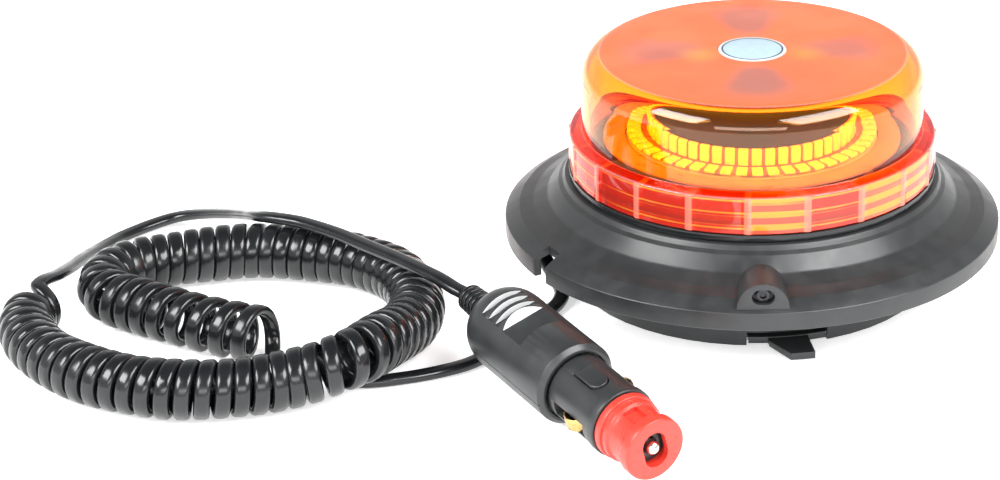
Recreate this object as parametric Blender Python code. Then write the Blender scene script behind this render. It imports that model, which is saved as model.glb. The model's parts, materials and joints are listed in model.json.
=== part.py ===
"""Magnetic LED warning beacon with a curly cord and a 12/24 V lighter plug.

Metres, +Z up. The origin is on the floor under the middle of the beacon. The
hooded lock boss with the release lever below it faces -Y, the curly cord lies
on the -X side. Sizes are named values; small pieces take theirs from them.
"""
import math

import bmesh
import bpy
from mathutils import Matrix, Vector

MM = 0.001
GAP = 0.3 * MM                     # clearance between pieces that touch

# Base moulding (the wide brim)
BRIM_RADIUS = 78.0 * MM
BRIM_LIP_BOTTOM = 15.8 * MM        # height of the lip's lower edge
BRIM_LIP_HEIGHT = 5.6 * MM
BRIM_BEVEL_HEIGHT = 2.9 * MM       # sloping band above the lip
BRIM_BEVEL_INSET = 4.5 * MM
DECK_FOOT = 4.5 * MM               # drop from the collar's crest to where the deck flattens
DECK_VALLEY = 6.9 * MM             # drop from the crest to the middle of the flatter part
BRIM_WALL = 2.4 * MM
COLLAR_RADIUS = 58.8 * MM
COLLAR_TOP = 34.9 * MM
COLLAR_HEIGHT = 2.4 * MM
DECK_THICKNESS = 2.5 * MM
WIRE_HOLE_RADIUS = 6.0 * MM
SPIGOT_HEIGHT = 8.1 * MM
SPIGOT_WALL = 2.2 * MM
STANDOFF_RADIUS = 2.6 * MM
STANDOFF_HEIGHT = 2.8 * MM

# Hooded bosses and their locking screws
BOSS_COUNT = 2
BOSS_RADIUS = 7.7 * MM
BOSS_AXIS_HEIGHT = 22.8 * MM
BOSS_FLOOR_DROP = 0.5 * MM
BOSS_FACE_INSET = 1.1 * MM         # from the brim's edge to the boss's face
BOSS_LENGTH = 14.9 * MM
LOCK_AXIS_HEIGHT = 26.2 * MM
LOCK_POCKET_WIDTH = 6.8 * MM
LOCK_POCKET_HEIGHT = 4.7 * MM
LOCK_POCKET_DEPTH = 3.6 * MM
LOCK_SHANK_RADIUS = 1.3 * MM
LOCK_HEAD_RADIUS = 2.0 * MM
LOCK_HEAD_LENGTH = 2.0 * MM

# Cable notch in the brim
NOTCH_AZIMUTH = -148.2
NOTCH_WIDTH = 6.6 * MM
NOTCH_DEPTH = 5.5 * MM

# Lens
LENS_RADIUS = 53.3 * MM            # upper, smooth cylinder
LENS_TOP = 75.1 * MM
LENS_WALL = 2.4 * MM
LENS_FILLET = 8.4 * MM
SKIRT_RADIUS = 57.2 * MM
SKIRT_TOP = 49.2 * MM
RIB_COUNT = 20
RIB_WIDTH = 2.0 * MM
RIB_PROUD = 0.5 * MM
RIB_PHASE = -93.8
LABEL_RADIUS = 10.6 * MM
LABEL_THICKNESS = 0.35 * MM
LABEL_RECESS = 0.5 * MM
GASKET_HEIGHT = 2.1 * MM
LUG_COUNT = 3
LUG_ARC = 13.0
LUG_HEIGHT = 2.0 * MM
LUG_PROUD = 1.5 * MM
LUG_LIFT = 1.8 * MM                # from the lens's lower edge to the lug
TWIST_RANGE = 18.0

# LED module
BOARD_THICKNESS = 1.4 * MM
DRIVER_RADIUS = 36.0 * MM
SINK_RADIUS = 39.6 * MM
SINK_TOP = 46.4 * MM
SINK_THICKNESS = 2.2 * MM
SINK_LEG_RADIUS = 2.4 * MM
LED_BOARD_HOLE = 22.0 * MM
LED_COUNT = 18
LED_CIRCLE_RADIUS = 36.0 * MM
LED_SIZE = 2.8 * MM
LED_HEIGHT = 0.6 * MM
OPTIC_WALL_RADIUS = 32.4 * MM
OPTIC_FLANGE_RADIUS = 39.3 * MM
OPTIC_THICKNESS = 1.3 * MM
OPTIC_TOP = 55.2 * MM
REFLECTOR_RADIUS = 46.5 * MM
REFLECTOR_THICKNESS = 0.8 * MM
CAP_TOP = 54.6 * MM
CAP_THICKNESS = 2.4 * MM
CAP_STEM_RADIUS = 8.0 * MM
CAPACITOR_RADIUS = 4.0 * MM
CAPACITOR_HEIGHT = 3.6 * MM
INDUCTOR_SIZE = 9.0 * MM
INDUCTOR_HEIGHT = 3.4 * MM
CLAMP_RADIUS = 50.4 * MM
CLAMP_DEPTH = 3.4 * MM
CLAMP_TOP = 48.2 * MM
CLAMP_AZIMUTH = -138.0
CLAMP_ARC = 26.0

# Magnet foot
DRUM_RADIUS = 56.8 * MM
DRUM_WALL = 2.6 * MM
DRUM_BOTTOM = 0.6 * MM
DRUM_TOP = 24.6 * MM
DRUM_ROOF = 3.0 * MM
PAD_RADIUS = 51.9 * MM
PAD_THICKNESS = 1.8 * MM
MAGNET_OUTER = 50.5 * MM
MAGNET_INNER = 20.0 * MM
MAGNET_THICKNESS = 7.2 * MM
POLE_THICKNESS = 2.0 * MM
FOOT_SCREW_RADIUS = 42.0 * MM      # circle that the three foot screws lie on
FOOT_SCREW_AZIMUTHS = (-28.0, 92.0, 212.0)
FOOT_SCREW_SHANK = 1.2 * MM
FOOT_SCREW_HEAD = 3.0 * MM
FOOT_SCREW_LENGTH = 9.0 * MM
FOOT_SCREW_HEAD_HEIGHT = 1.8 * MM
FOOT_POST_RADIUS = 4.5 * MM

# Release lever
LEVER_AZIMUTH = -81.0
LEVER_ARC = 24.4
LEVER_AXIS_HEIGHT = 2.4 * MM
LEVER_AXIS_DISTANCE = 53.9 * MM
LEVER_INNER = 53.0 * MM
LEVER_BOTTOM = 1.3 * MM
LEVER_BAR_HEIGHT = 2.1 * MM
LEVER_REACH = 67.0 * MM
LEVER_ROOT_WIDTH = 12.2 * MM
LEVER_TIP_WIDTH = 7.4 * MM
LEVER_SLOT_TOP = 4.9 * MM
LEVER_PIN_RADIUS = 0.6 * MM
LEVER_PIN_LENGTH = 25.6 * MM

# Cord
CORD_RADIUS = 1.8 * MM
COIL_RADIUS = 9.1 * MM
EXIT_AZIMUTH = 170.0
EXIT_HEIGHT = 14.0 * MM
GROMMET_RADIUS = 2.9 * MM
GROMMET_NECK = 2.3 * MM
GROMMET_FLANGE = 1.5 * MM

# Plug, along its own axis from the boot's end
PLUG_START = (-87.1 * MM, -57.8 * MM, 18.2 * MM)
PLUG_AZIMUTH = -56.1
PLUG_DIP = 5.1                     # it rests on its grip and its tip
PLUG_ROLL = 16.0                   # the latch and the slots lean to one side
BOOT_RADIUS = 4.1 * MM
BOOT_RIB_PROUD = 0.5 * MM
BOOT_RIB_COUNT = 6
BOOT_NECK_RADIUS = 3.2 * MM
GRIP_RADIUS = 12.9 * MM
GRIP_WALL = 3.4 * MM
GRIP_REAR = 12.4 * MM
GRIP_SHOULDER = 23.0 * MM
GRIP_FRONT = 58.8 * MM
GRIP_CHAMFER = 1.4 * MM
GRIP_SLOT_COUNT = 3
GRIP_SLOT_START = 22.4 * MM
GRIP_SLOT_PITCH = 3.6 * MM
GRIP_SLOT_LENGTH = 1.9 * MM
GRIP_SLOT_DEPTH = 2.2 * MM
GRIP_FLAT_START = 33.9 * MM
GRIP_FLAT_LENGTH = 9.4 * MM
BARREL_RADIUS = 10.15 * MM
BARREL_BORE = 7.6 * MM
BARREL_FRONT = 82.0 * MM
BARREL_COLLAR_PROUD = 0.4 * MM
BARREL_COLLAR_LENGTH = 2.8 * MM
BARREL_TENON_RADIUS = 8.3 * MM
BARREL_FLANGE_RADIUS = 9.1 * MM
SPRING_WIDTH = 4.2 * MM
SPRING_THICKNESS = 0.5 * MM
SPRING_PROUD = 1.3 * MM
WINDOW_START = 62.0 * MM
WINDOW_LENGTH = 14.6 * MM
LATCH_START = 65.2 * MM
LATCH_LENGTH = 10.4 * MM
LATCH_WIDTH = 5.6 * MM
LATCH_THICKNESS = 1.8 * MM
LATCH_PROUD = 0.45 * MM
ADAPTER_RADIUS = 10.0 * MM
ADAPTER_END_RADIUS = 9.6 * MM
ADAPTER_WAIST_RADIUS = 8.7 * MM
ADAPTER_BORE = 6.1 * MM
ADAPTER_SLEEVE_RADIUS = 7.3 * MM
ADAPTER_SLEEVE_LENGTH = 3.4 * MM
ADAPTER_LENGTH = 15.6 * MM
ADAPTER_WALL = 2.0 * MM            # end wall with the long opening
ADAPTER_SLOT_WIDTH = 7.6 * MM
ADAPTER_SLOT_HEIGHT = 11.4 * MM
NOSE_RADIUS = 5.7 * MM
NOSE_BORE = 4.3 * MM
NOSE_WALL = 1.6 * MM
NOSE_FLANGE_RADIUS = 7.3 * MM
TIP_RADIUS = 2.2 * MM
TIP_FLANGE_RADIUS = 3.6 * MM
TIP_PROUD = 3.6 * MM
FUSE_RADIUS = 2.6 * MM
FUSE_LENGTH = 20.0 * MM
TIP_SPRING_RADIUS = 2.9 * MM
TIP_SPRING_WIRE = 0.4 * MM
TIP_SPRING_TURNS = 5
TIP_TRAVEL = 1.2 * MM              # the spring is drawn at its pressed length

# Route points, chosen by hand (millimetres)
LEAD_FROM_BEACON = [
    (-62.0, 10.4, 13.9), (-65.5, 8.0, 13.2), (-67.2, 3.6, 11.8), (-67.0, -2.2, 9.6),
    (-65.0, -8.6, 7.0), (-62.0, -15.2, 4.4), (-60.0, -21.2, 2.6), (-60.9, -27.2, 2.1),
    (-64.0, -34.2, 2.0), (-69.5, -43.6, 2.0), (-75.0, -53.0, 2.0), (-80.2, -61.4, 2.0),
    (-85.6, -67.9, 2.0), (-90.0, -71.5, 2.0), (-95.8, -74.7, 2.0), (-101.6, -77.2, 2.0),
    (-107.5, -79.1, 2.0), (-113.3, -80.6, 2.0), (-119.0, -81.0, 2.0), (-124.8, -79.4, 2.0),
    (-130.4, -75.6, 2.0), (-135.4, -71.2, 2.5)]
COIL_ROUTE = [
    (-221.0, -41.6, 9.1), (-222.8, -48.8, 9.1), (-222.4, -58.0, 9.1), (-217.8, -69.4, 9.1),
    (-208.6, -81.2, 9.1), (-195.2, -91.2, 9.1), (-179.2, -97.8, 9.1), (-164.0, -99.6, 9.1),
    (-149.6, -97.6, 9.1), (-139.4, -94.6, 9.6), (-131.4, -93.0, 11.0), (-125.9, -92.2, 12.8),
    (-120.7, -89.4, 13.7), (-116.4, -84.2, 13.8), (-112.4, -76.2, 12.9), (-108.4, -66.0, 10.6),
    (-105.4, -56.0, 9.2), (-104.2, -45.6, 9.1), (-106.6, -33.2, 9.1), (-113.6, -20.0, 9.1),
    (-127.7, -9.4, 9.1), (-144.2, -4.2, 9.1), (-160.5, -2.4, 9.1), (-176.1, -5.6, 9.1),
    (-188.6, -9.8, 9.1), (-197.4, -14.6, 9.1), (-202.6, -22.0, 9.1), (-203.0, -30.4, 9.1),
    (-198.2, -37.4, 9.1), (-190.0, -42.9, 9.1), (-181.6, -48.2, 9.1), (-173.2, -53.2, 9.1),
    (-165.0, -57.6, 9.1), (-155.2, -62.0, 9.1), (-145.0, -65.6, 9.1)]
LEAD_TO_PLUG = [
    (-217.6, -29.6, 13.2), (-215.9, -17.9, 10.9), (-214.7, -7.3, 8.5),
    (-213.4, 2.9, 6.1), (-211.7, 11.2, 4.2), (-209.5, 18.3, 3.0), (-206.3, 25.4, 2.2),
    (-198.6, 34.0, 2.2), (-189.9, 38.0, 3.4), (-179.9, 33.8, 6.3), (-168.9, 22.0, 11.4),
    (-162.6, 11.8, 15.4), (-156.7, 1.0, 19.6), (-150.0, -3.2, 20.6), (-143.4, -6.0, 20.6),
    (-136.6, -10.6, 20.6), (-129.8, -16.0, 20.6), (-122.9, -22.7, 20.6), (-116.2, -29.0, 20.6),
    (-109.5, -35.6, 20.7), (-102.9, -42.7, 20.7), (-96.5, -49.0, 20.2), (-91.9, -53.5, 19.2)]
COIL_LEAD_OFFSET_HIGH = 4.9 * MM   # where the plug's lead leaves the coil's end face
COIL_LEAD_OFFSET_LOW = 5.4 * MM    # where the beacon's lead meets the other end face
LEAD_STRAIGHT = 4.0 * MM           # straight stretch where a lead meets a coil face or the boot

# Heights and radii that follow from the values above
BRIM_LIP_TOP = BRIM_LIP_BOTTOM + BRIM_LIP_HEIGHT
BRIM_BEVEL_TOP = BRIM_LIP_TOP + BRIM_BEVEL_HEIGHT
DECK_UNDERSIDE = COLLAR_TOP - DECK_THICKNESS
REGISTER_INNER = DRUM_RADIUS + GAP + 0.1 * MM
REGISTER_OUTER = REGISTER_INNER + 2.2 * MM
REGISTER_BOTTOM = DRUM_TOP - 6.6 * MM
LENS_BOTTOM = COLLAR_TOP + GAP + GASKET_HEIGHT + GAP
SKIRT_INNER = SKIRT_RADIUS - LENS_WALL
SPIGOT_OUTER = SKIRT_INNER - 0.5 * MM
SPIGOT_INNER = SPIGOT_OUTER - SPIGOT_WALL
BOSS_FACE = BRIM_RADIUS - BOSS_FACE_INSET
DRIVER_BOTTOM = COLLAR_TOP + STANDOFF_HEIGHT + GAP
DRIVER_TOP = DRIVER_BOTTOM + BOARD_THICKNESS
LED_BOARD_BOTTOM = SINK_TOP + GAP
LED_BOARD_TOP = LED_BOARD_BOTTOM + BOARD_THICKNESS
OPTIC_BOTTOM = LED_BOARD_TOP + LED_HEIGHT + GAP
MAGNET_BOTTOM = PAD_THICKNESS + GAP
POLE_BOTTOM = MAGNET_BOTTOM + MAGNET_THICKNESS + GAP
DRUM_CEILING = DRUM_TOP - DRUM_ROOF
GRIP_BORE = BARREL_FLANGE_RADIUS + 0.4 * MM
ADAPTER_START = BARREL_FRONT + GAP
ADAPTER_END = ADAPTER_START + ADAPTER_LENGTH
NOSE_END = ADAPTER_END - 0.9 * MM
BARREL_MAIN_START = GRIP_FRONT + GAP
BOSS_AZIMUTHS = [-90.0 + 360.0 / BOSS_COUNT * i for i in range(BOSS_COUNT)]


def clear_scene():
    for obj in list(bpy.data.objects):
        bpy.data.objects.remove(obj, do_unlink=True)


def material(name, colour, roughness, metallic=0.0, transmission=0.0):
    made = bpy.data.materials.get(name)
    if made:
        return made
    made = bpy.data.materials.new(name)
    made.use_nodes = True
    shader = made.node_tree.nodes["Principled BSDF"]
    shader.inputs["Base Color"].default_value = (*colour, 1.0)
    shader.inputs["Roughness"].default_value = roughness
    shader.inputs["Metallic"].default_value = metallic
    shader.inputs["Transmission Weight"].default_value = transmission
    made.diffuse_color = (*colour, 1.0)
    return made


def black_plastic():
    return material("black_plastic", (0.03, 0.032, 0.034), 0.38)


def black_rubber():
    return material("black_rubber", (0.02, 0.021, 0.022), 0.6)


def amber_lens():
    return material("amber_lens", (0.95, 0.25, 0.04), 0.08, transmission=0.9)


def yellow_optic():
    return material("yellow_optic", (1.0, 0.7, 0.02), 0.12, transmission=0.6)


def steel():
    return material("steel", (0.6, 0.6, 0.58), 0.3, metallic=1.0)


def brass():
    return material("brass", (0.75, 0.52, 0.26), 0.3, metallic=1.0)


def red_plastic():
    return material("red_plastic", (0.85, 0.09, 0.05), 0.3)


def board_green():
    return material("board_green", (0.02, 0.12, 0.05), 0.45)


def polar(radius, degrees, height=0.0):
    turn = math.radians(degrees)
    return Vector((radius * math.cos(turn), radius * math.sin(turn), height))


def object_from(bm, name, look):
    mesh = bpy.data.meshes.new(name)
    bmesh.ops.recalc_face_normals(bm, faces=bm.faces)
    bm.to_mesh(mesh)
    bm.free()
    if look:
        mesh.materials.append(look)
    mesh.shade_smooth()
    mesh.set_sharp_from_angle(angle=math.radians(32))
    obj = bpy.data.objects.new(name, mesh)
    bpy.context.collection.objects.link(obj)
    return obj


def as_cutter(obj):
    obj.hide_render = True
    obj.display_type = "WIRE"
    return obj


def combine(target, tool, operation):
    """Cut, or join, the tool's shape into the target."""
    step = target.modifiers.new(operation.lower(), "BOOLEAN")
    step.operation = operation
    step.solver = "EXACT"
    step.object = as_cutter(tool)


def cut(target, tool):
    combine(target, tool, "DIFFERENCE")


def join(target, tool):
    combine(target, tool, "UNION")


def arc(centre, radius, start, end, steps):
    """Points (radius, height) round part of a circle in a turned outline."""
    points = []
    for i in range(steps + 1):
        turn = math.radians(start + (end - start) * i / steps)
        points.append((centre[0] + radius * math.cos(turn), centre[1] + radius * math.sin(turn)))
    return points


def turned_bmesh(outline, segments, start=0.0, sweep=360.0):
    """Turn a closed (radius, height) outline about Z, fully or through an arc."""
    bm = bmesh.new()
    full = abs(sweep - 360.0) < 1e-6
    columns = segments if full else segments + 1
    grid = []
    axis_verts = {}
    for i in range(columns):
        turn = math.radians(start + sweep * i / segments)
        column = []
        for index, (radius, height) in enumerate(outline):
            if radius < 1e-7:
                if index not in axis_verts:
                    axis_verts[index] = bm.verts.new((0.0, 0.0, height))
                column.append(axis_verts[index])
            else:
                column.append(bm.verts.new((radius * math.cos(turn), radius * math.sin(turn), height)))
        grid.append(column)
    count = len(outline)
    for i in range(columns if full else columns - 1):
        here = grid[i]
        there = grid[(i + 1) % columns]
        for j in range(count):
            k = (j + 1) % count
            corners = [here[j], there[j], there[k], here[k]]
            loop = [v for n, v in enumerate(corners) if v not in corners[:n]]
            if len(loop) > 2:
                bm.faces.new(loop)
    if not full:
        bm.faces.new(grid[0])
        bm.faces.new(list(reversed(grid[-1])))
    return bm


def turned(name, outline, look, segments=48):
    return object_from(turned_bmesh(outline, segments), name, look)


def arc_block(name, inner, outer, bottom, top, centre, sweep, look=None):
    outline = [(inner, bottom), (outer, bottom), (outer, top), (inner, top)]
    steps = max(3, int(sweep / 4))
    return object_from(turned_bmesh(outline, steps, centre - sweep / 2, sweep), name, look)


def box(name, size, centre, look=None, turn=0.0):
    """A box whose own X points along the azimuth 'turn'."""
    bm = bmesh.new()
    bmesh.ops.create_cube(bm, size=1.0)
    bmesh.ops.scale(bm, vec=size, verts=bm.verts)
    bmesh.ops.rotate(bm, matrix=Matrix.Rotation(math.radians(turn), 3, "Z"), verts=bm.verts)
    bmesh.ops.translate(bm, vec=centre, verts=bm.verts)
    return object_from(bm, name, look)


def rod(name, radius, start, end, look=None, segments=24):
    """A solid round bar between two points."""
    start = Vector(start)
    along = Vector(end) - start
    bm = bmesh.new()
    bmesh.ops.create_cone(bm, cap_ends=True, segments=segments, radius1=radius, radius2=radius,
                          depth=along.length)
    facing = Vector((0, 0, 1)).rotation_difference(along).to_matrix()
    bmesh.ops.rotate(bm, matrix=facing, verts=bm.verts)
    bmesh.ops.translate(bm, vec=start + along / 2, verts=bm.verts)
    return object_from(bm, name, look)


def prism(name, outline, low, high, look=None):
    """Extrude a flat (x, y) outline from one height to another."""
    bm = bmesh.new()
    lower = [bm.verts.new((x, y, low)) for x, y in outline]
    upper = [bm.verts.new((x, y, high)) for x, y in outline]
    bm.faces.new(lower)
    bm.faces.new(upper)
    for i in range(len(outline)):
        k = (i + 1) % len(outline)
        bm.faces.new([lower[i], lower[k], upper[k], upper[i]])
    return object_from(bm, name, look)


def stadium(width, height, steps=8):
    """A rounded slot outline, longest along its second coordinate."""
    half = width / 2
    straight = max(height / 2 - half, 0.0)
    upper = arc((0.0, straight), half, 0.0, 180.0, steps)
    lower = arc((0.0, -straight), half, 180.0, 360.0, steps)
    return upper + lower


def make_lens():
    top_centre = (LENS_RADIUS - LENS_FILLET, LENS_TOP - LENS_FILLET)
    inner_radius = LENS_RADIUS - LENS_WALL
    recess = LABEL_RADIUS + GAP
    outline = [(0.0, LENS_TOP - LABEL_RECESS), (recess, LENS_TOP - LABEL_RECESS), (recess, LENS_TOP)]
    outline += arc(top_centre, LENS_FILLET, 90, 0, 5)
    outline += [(LENS_RADIUS, SKIRT_TOP + 0.7 * MM), (LENS_RADIUS + 0.7 * MM, SKIRT_TOP),
                (SKIRT_RADIUS, SKIRT_TOP),
                (SKIRT_RADIUS, LENS_BOTTOM), (SKIRT_INNER, LENS_BOTTOM),
                (SKIRT_INNER, SKIRT_TOP - LENS_WALL), (inner_radius, SKIRT_TOP - LENS_WALL)]
    outline += arc(top_centre, LENS_FILLET - LENS_WALL, 0, 90, 3)
    outline += [(0.0, LENS_TOP - LENS_WALL)]
    lens = turned("lens", outline, amber_lens())
    ribs = bmesh.new()
    for i in range(RIB_COUNT):
        azimuth = RIB_PHASE + 360.0 / RIB_COUNT * i
        made = bmesh.ops.create_cube(ribs, size=1.0)["verts"]
        rib_height = SKIRT_TOP - LENS_BOTTOM - 0.9 * MM
        bmesh.ops.scale(ribs, vec=(RIB_PROUD + 1.2 * MM, RIB_WIDTH, rib_height), verts=made)
        middle = SKIRT_RADIUS + RIB_PROUD / 2 - 0.6 * MM
        bmesh.ops.translate(ribs, vec=(middle, 0, LENS_BOTTOM + 0.3 * MM + rib_height / 2), verts=made)
        bmesh.ops.rotate(ribs, matrix=Matrix.Rotation(math.radians(azimuth), 3, "Z"), verts=made)
    join(lens, object_from(ribs, "lens_ribs_tool", None))
    for i in range(LUG_COUNT):
        azimuth = 30.0 + 360.0 / LUG_COUNT * i
        low = LENS_BOTTOM + LUG_LIFT
        lug = arc_block("lens_lug_tool_%d" % i, SKIRT_INNER - LUG_PROUD, SKIRT_INNER + 1.0 * MM,
                        low, low + LUG_HEIGHT, azimuth, LUG_ARC)
        join(lens, lug)
    return lens


def make_label():
    low = LENS_TOP - LABEL_RECESS + GAP
    outline = [(0.0, low), (LABEL_RADIUS, low), (LABEL_RADIUS, low + LABEL_THICKNESS),
               (0.0, low + LABEL_THICKNESS)]
    return turned("top_label", outline, material("label_film", (0.55, 0.68, 0.76), 0.35), 40)


def make_gasket():
    low = COLLAR_TOP + GAP
    outline = [(SKIRT_INNER, low), (SKIRT_RADIUS + 0.4 * MM, low),
               (SKIRT_RADIUS + 0.4 * MM, low + GASKET_HEIGHT), (SKIRT_INNER, low + GASKET_HEIGHT)]
    return turned("lens_gasket", outline, black_rubber())


# ---------------------------------------------------------------- base moulding

def base_outline():
    crest = COLLAR_TOP - COLLAR_HEIGHT
    slope_inner = COLLAR_RADIUS + 2.1 * MM
    bevel_radius = BRIM_RADIUS - BRIM_BEVEL_INSET
    lip_inner = BRIM_RADIUS - BRIM_WALL
    return [
        (WIRE_HOLE_RADIUS, COLLAR_TOP), (SPIGOT_INNER, COLLAR_TOP),
        (SPIGOT_INNER, COLLAR_TOP + SPIGOT_HEIGHT), (SPIGOT_OUTER, COLLAR_TOP + SPIGOT_HEIGHT),
        (SPIGOT_OUTER, COLLAR_TOP), (COLLAR_RADIUS, COLLAR_TOP),
        (COLLAR_RADIUS + 0.6 * MM, crest + 1.1 * MM), (slope_inner, crest),
        (slope_inner + 3.6 * MM, crest - DECK_FOOT), (slope_inner + 8.1 * MM, crest - DECK_VALLEY),
        (bevel_radius - 0.9 * MM, BRIM_BEVEL_TOP + 0.2 * MM), (bevel_radius, BRIM_BEVEL_TOP - 0.1 * MM),
        (BRIM_RADIUS, BRIM_LIP_TOP), (BRIM_RADIUS, BRIM_LIP_BOTTOM),
        (lip_inner, BRIM_LIP_BOTTOM), (lip_inner, BRIM_LIP_TOP),
        (bevel_radius - BRIM_WALL, BRIM_BEVEL_TOP - 2.0 * MM),
        (slope_inner + 7.0 * MM, crest - DECK_VALLEY - 1.8 * MM),
        (slope_inner + 1.6 * MM, crest - DECK_FOOT - 1.2 * MM),
        (REGISTER_OUTER, crest - BRIM_WALL), (REGISTER_OUTER, REGISTER_BOTTOM),
        (REGISTER_INNER, REGISTER_BOTTOM), (REGISTER_INNER, DECK_UNDERSIDE),
        (WIRE_HOLE_RADIUS, DECK_UNDERSIDE)]


def boss_section():
    """Half-round hood on a short straight wall: (sideways, height)."""
    points = arc((0.0, BOSS_AXIS_HEIGHT), BOSS_RADIUS, 0, 180, 10)
    floor = BOSS_AXIS_HEIGHT - BOSS_FLOOR_DROP
    return points + [(-BOSS_RADIUS, floor), (BOSS_RADIUS, floor)]


def radial_prism(name, section, inner, outer, azimuth):
    """Extrude a (sideways, height) section outwards along an azimuth."""
    obj = prism(name, section, inner, outer)
    outward = polar(1.0, azimuth)
    sideways = Vector((0, 0, 1)).cross(outward)
    turn = Matrix((sideways, Vector((0, 0, 1)), outward)).transposed().to_4x4()
    obj.data.transform(turn)
    return obj


def make_base():
    base = turned("base_housing", base_outline(), black_plastic())
    for i, azimuth in enumerate(BOSS_AZIMUTHS):
        join(base, radial_prism("boss_tool_%d" % i, boss_section(), BOSS_FACE - BOSS_LENGTH,
                                BOSS_FACE, azimuth))
        pocket = [(z, x + LOCK_AXIS_HEIGHT) for x, z in stadium(LOCK_POCKET_HEIGHT, LOCK_POCKET_WIDTH)]
        cut(base, radial_prism("pocket_tool_%d" % i, pocket, BOSS_FACE - LOCK_POCKET_DEPTH,
                               BOSS_FACE + 2 * MM, azimuth))
        cut(base, rod("lock_hole_tool_%d" % i, LOCK_SHANK_RADIUS + GAP,
                      polar(REGISTER_INNER - 1 * MM, azimuth, LOCK_AXIS_HEIGHT),
                      polar(BOSS_FACE, azimuth, LOCK_AXIS_HEIGHT)))
    for i, azimuth in enumerate(FOOT_SCREW_AZIMUTHS):
        foot = polar(DRIVER_RADIUS - 5 * MM, azimuth, COLLAR_TOP - 1 * MM)
        join(base, rod("standoff_tool_%d" % i, STANDOFF_RADIUS, foot,
                       foot + Vector((0, 0, STANDOFF_HEIGHT + 1 * MM)), segments=16))
        post = polar(FOOT_SCREW_RADIUS, azimuth, DRUM_TOP + GAP)
        join(base, rod("post_tool_%d" % i, FOOT_POST_RADIUS, post,
                       polar(FOOT_SCREW_RADIUS, azimuth, DECK_UNDERSIDE + 1 * MM), segments=20))
        cut(base, rod("pilot_tool_%d" % i, FOOT_SCREW_SHANK + GAP, post - Vector((0, 0, 1 * MM)),
                      polar(FOOT_SCREW_RADIUS, azimuth, DRUM_CEILING + FOOT_SCREW_LENGTH + GAP),
                      segments=16))
    notch = box("notch_tool", (NOTCH_DEPTH + 6 * MM, NOTCH_WIDTH, BRIM_BEVEL_TOP),
                polar(BRIM_RADIUS - NOTCH_DEPTH / 2 + 3 * MM, NOTCH_AZIMUTH, BRIM_BEVEL_TOP / 2 + 6 * MM),
                turn=NOTCH_AZIMUTH)
    cut(base, notch)
    for i in range(LUG_COUNT):
        cut_bayonet(base, i)
    return base


def cut_bayonet(base, index):
    """A groove that the lens's lug turns in, with a way down into it at one end."""
    azimuth = 30.0 + 360.0 / LUG_COUNT * index
    low = LENS_BOTTOM + LUG_LIFT - GAP
    high = low + LUG_HEIGHT + 2 * GAP
    floor = SKIRT_INNER - LUG_PROUD - GAP
    edge = SPIGOT_OUTER + 2 * MM
    sweep = LUG_ARC + TWIST_RANGE + 4.0
    cut(base, arc_block("groove_tool_%d" % index, floor, edge, low, high,
                        azimuth + TWIST_RANGE / 2, sweep))
    cut(base, arc_block("entry_tool_%d" % index, floor, edge, high - 0.2 * MM,
                        COLLAR_TOP + SPIGOT_HEIGHT + 1 * MM, azimuth + TWIST_RANGE, LUG_ARC + 4.0))


def make_locking_screws():
    for i, azimuth in enumerate(BOSS_AZIMUTHS):
        head_back = BOSS_FACE - LOCK_POCKET_DEPTH + GAP
        tip = REGISTER_INNER
        screw = rod("locking_screw_%d" % (i + 1), LOCK_HEAD_RADIUS,
                    polar(head_back, azimuth, LOCK_AXIS_HEIGHT),
                    polar(head_back + LOCK_HEAD_LENGTH, azimuth, LOCK_AXIS_HEIGHT), steel(), 20)
        join(screw, rod("lock_shank_tool_%d" % i, LOCK_SHANK_RADIUS,
                        polar(tip, azimuth, LOCK_AXIS_HEIGHT),
                        polar(head_back + 0.5 * MM, azimuth, LOCK_AXIS_HEIGHT), segments=16))
        drive_start = polar(head_back + LOCK_HEAD_LENGTH - 1.1 * MM, azimuth, LOCK_AXIS_HEIGHT)
        cut(screw, rod("lock_drive_tool_%d" % i, 1.05 * MM, drive_start,
                       drive_start + polar(3 * MM, azimuth), segments=6))


# ---------------------------------------------------------------- LED module

def make_driver():
    outline = [(WIRE_HOLE_RADIUS, DRIVER_BOTTOM), (DRIVER_RADIUS, DRIVER_BOTTOM),
               (DRIVER_RADIUS, DRIVER_TOP), (WIRE_HOLE_RADIUS, DRIVER_TOP)]
    turned("driver_board", outline, board_green(), 48)
    low = DRIVER_TOP + GAP
    rod("driver_capacitor", CAPACITOR_RADIUS, (14 * MM, -14 * MM, low),
        (14 * MM, -14 * MM, low + CAPACITOR_HEIGHT), material("capacitor_sleeve", (0.02, 0.02, 0.05), 0.4))
    box("driver_inductor", (INDUCTOR_SIZE, INDUCTOR_SIZE, INDUCTOR_HEIGHT),
        (-16 * MM, 12 * MM, low + INDUCTOR_HEIGHT / 2), material("ferrite", (0.06, 0.055, 0.05), 0.7))


def make_heat_sink():
    low = SINK_TOP - SINK_THICKNESS
    outline = [(0.0, low), (SINK_RADIUS, low), (SINK_RADIUS, SINK_TOP), (0.0, SINK_TOP)]
    sink = turned("heat_sink", outline, material("bare_aluminium", (0.75, 0.76, 0.77), 0.35, 1.0))
    for i in range(3):
        azimuth = 90.0 + 120.0 * i
        outward = polar(DRIVER_RADIUS + SINK_LEG_RADIUS + 2 * GAP, azimuth)
        foot = outward + Vector((0, 0, COLLAR_TOP + GAP))
        join(sink, rod("leg_tool_%d" % i, SINK_LEG_RADIUS, foot,
                       outward + Vector((0, 0, low + 1 * MM)), segments=16))
    return sink


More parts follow.
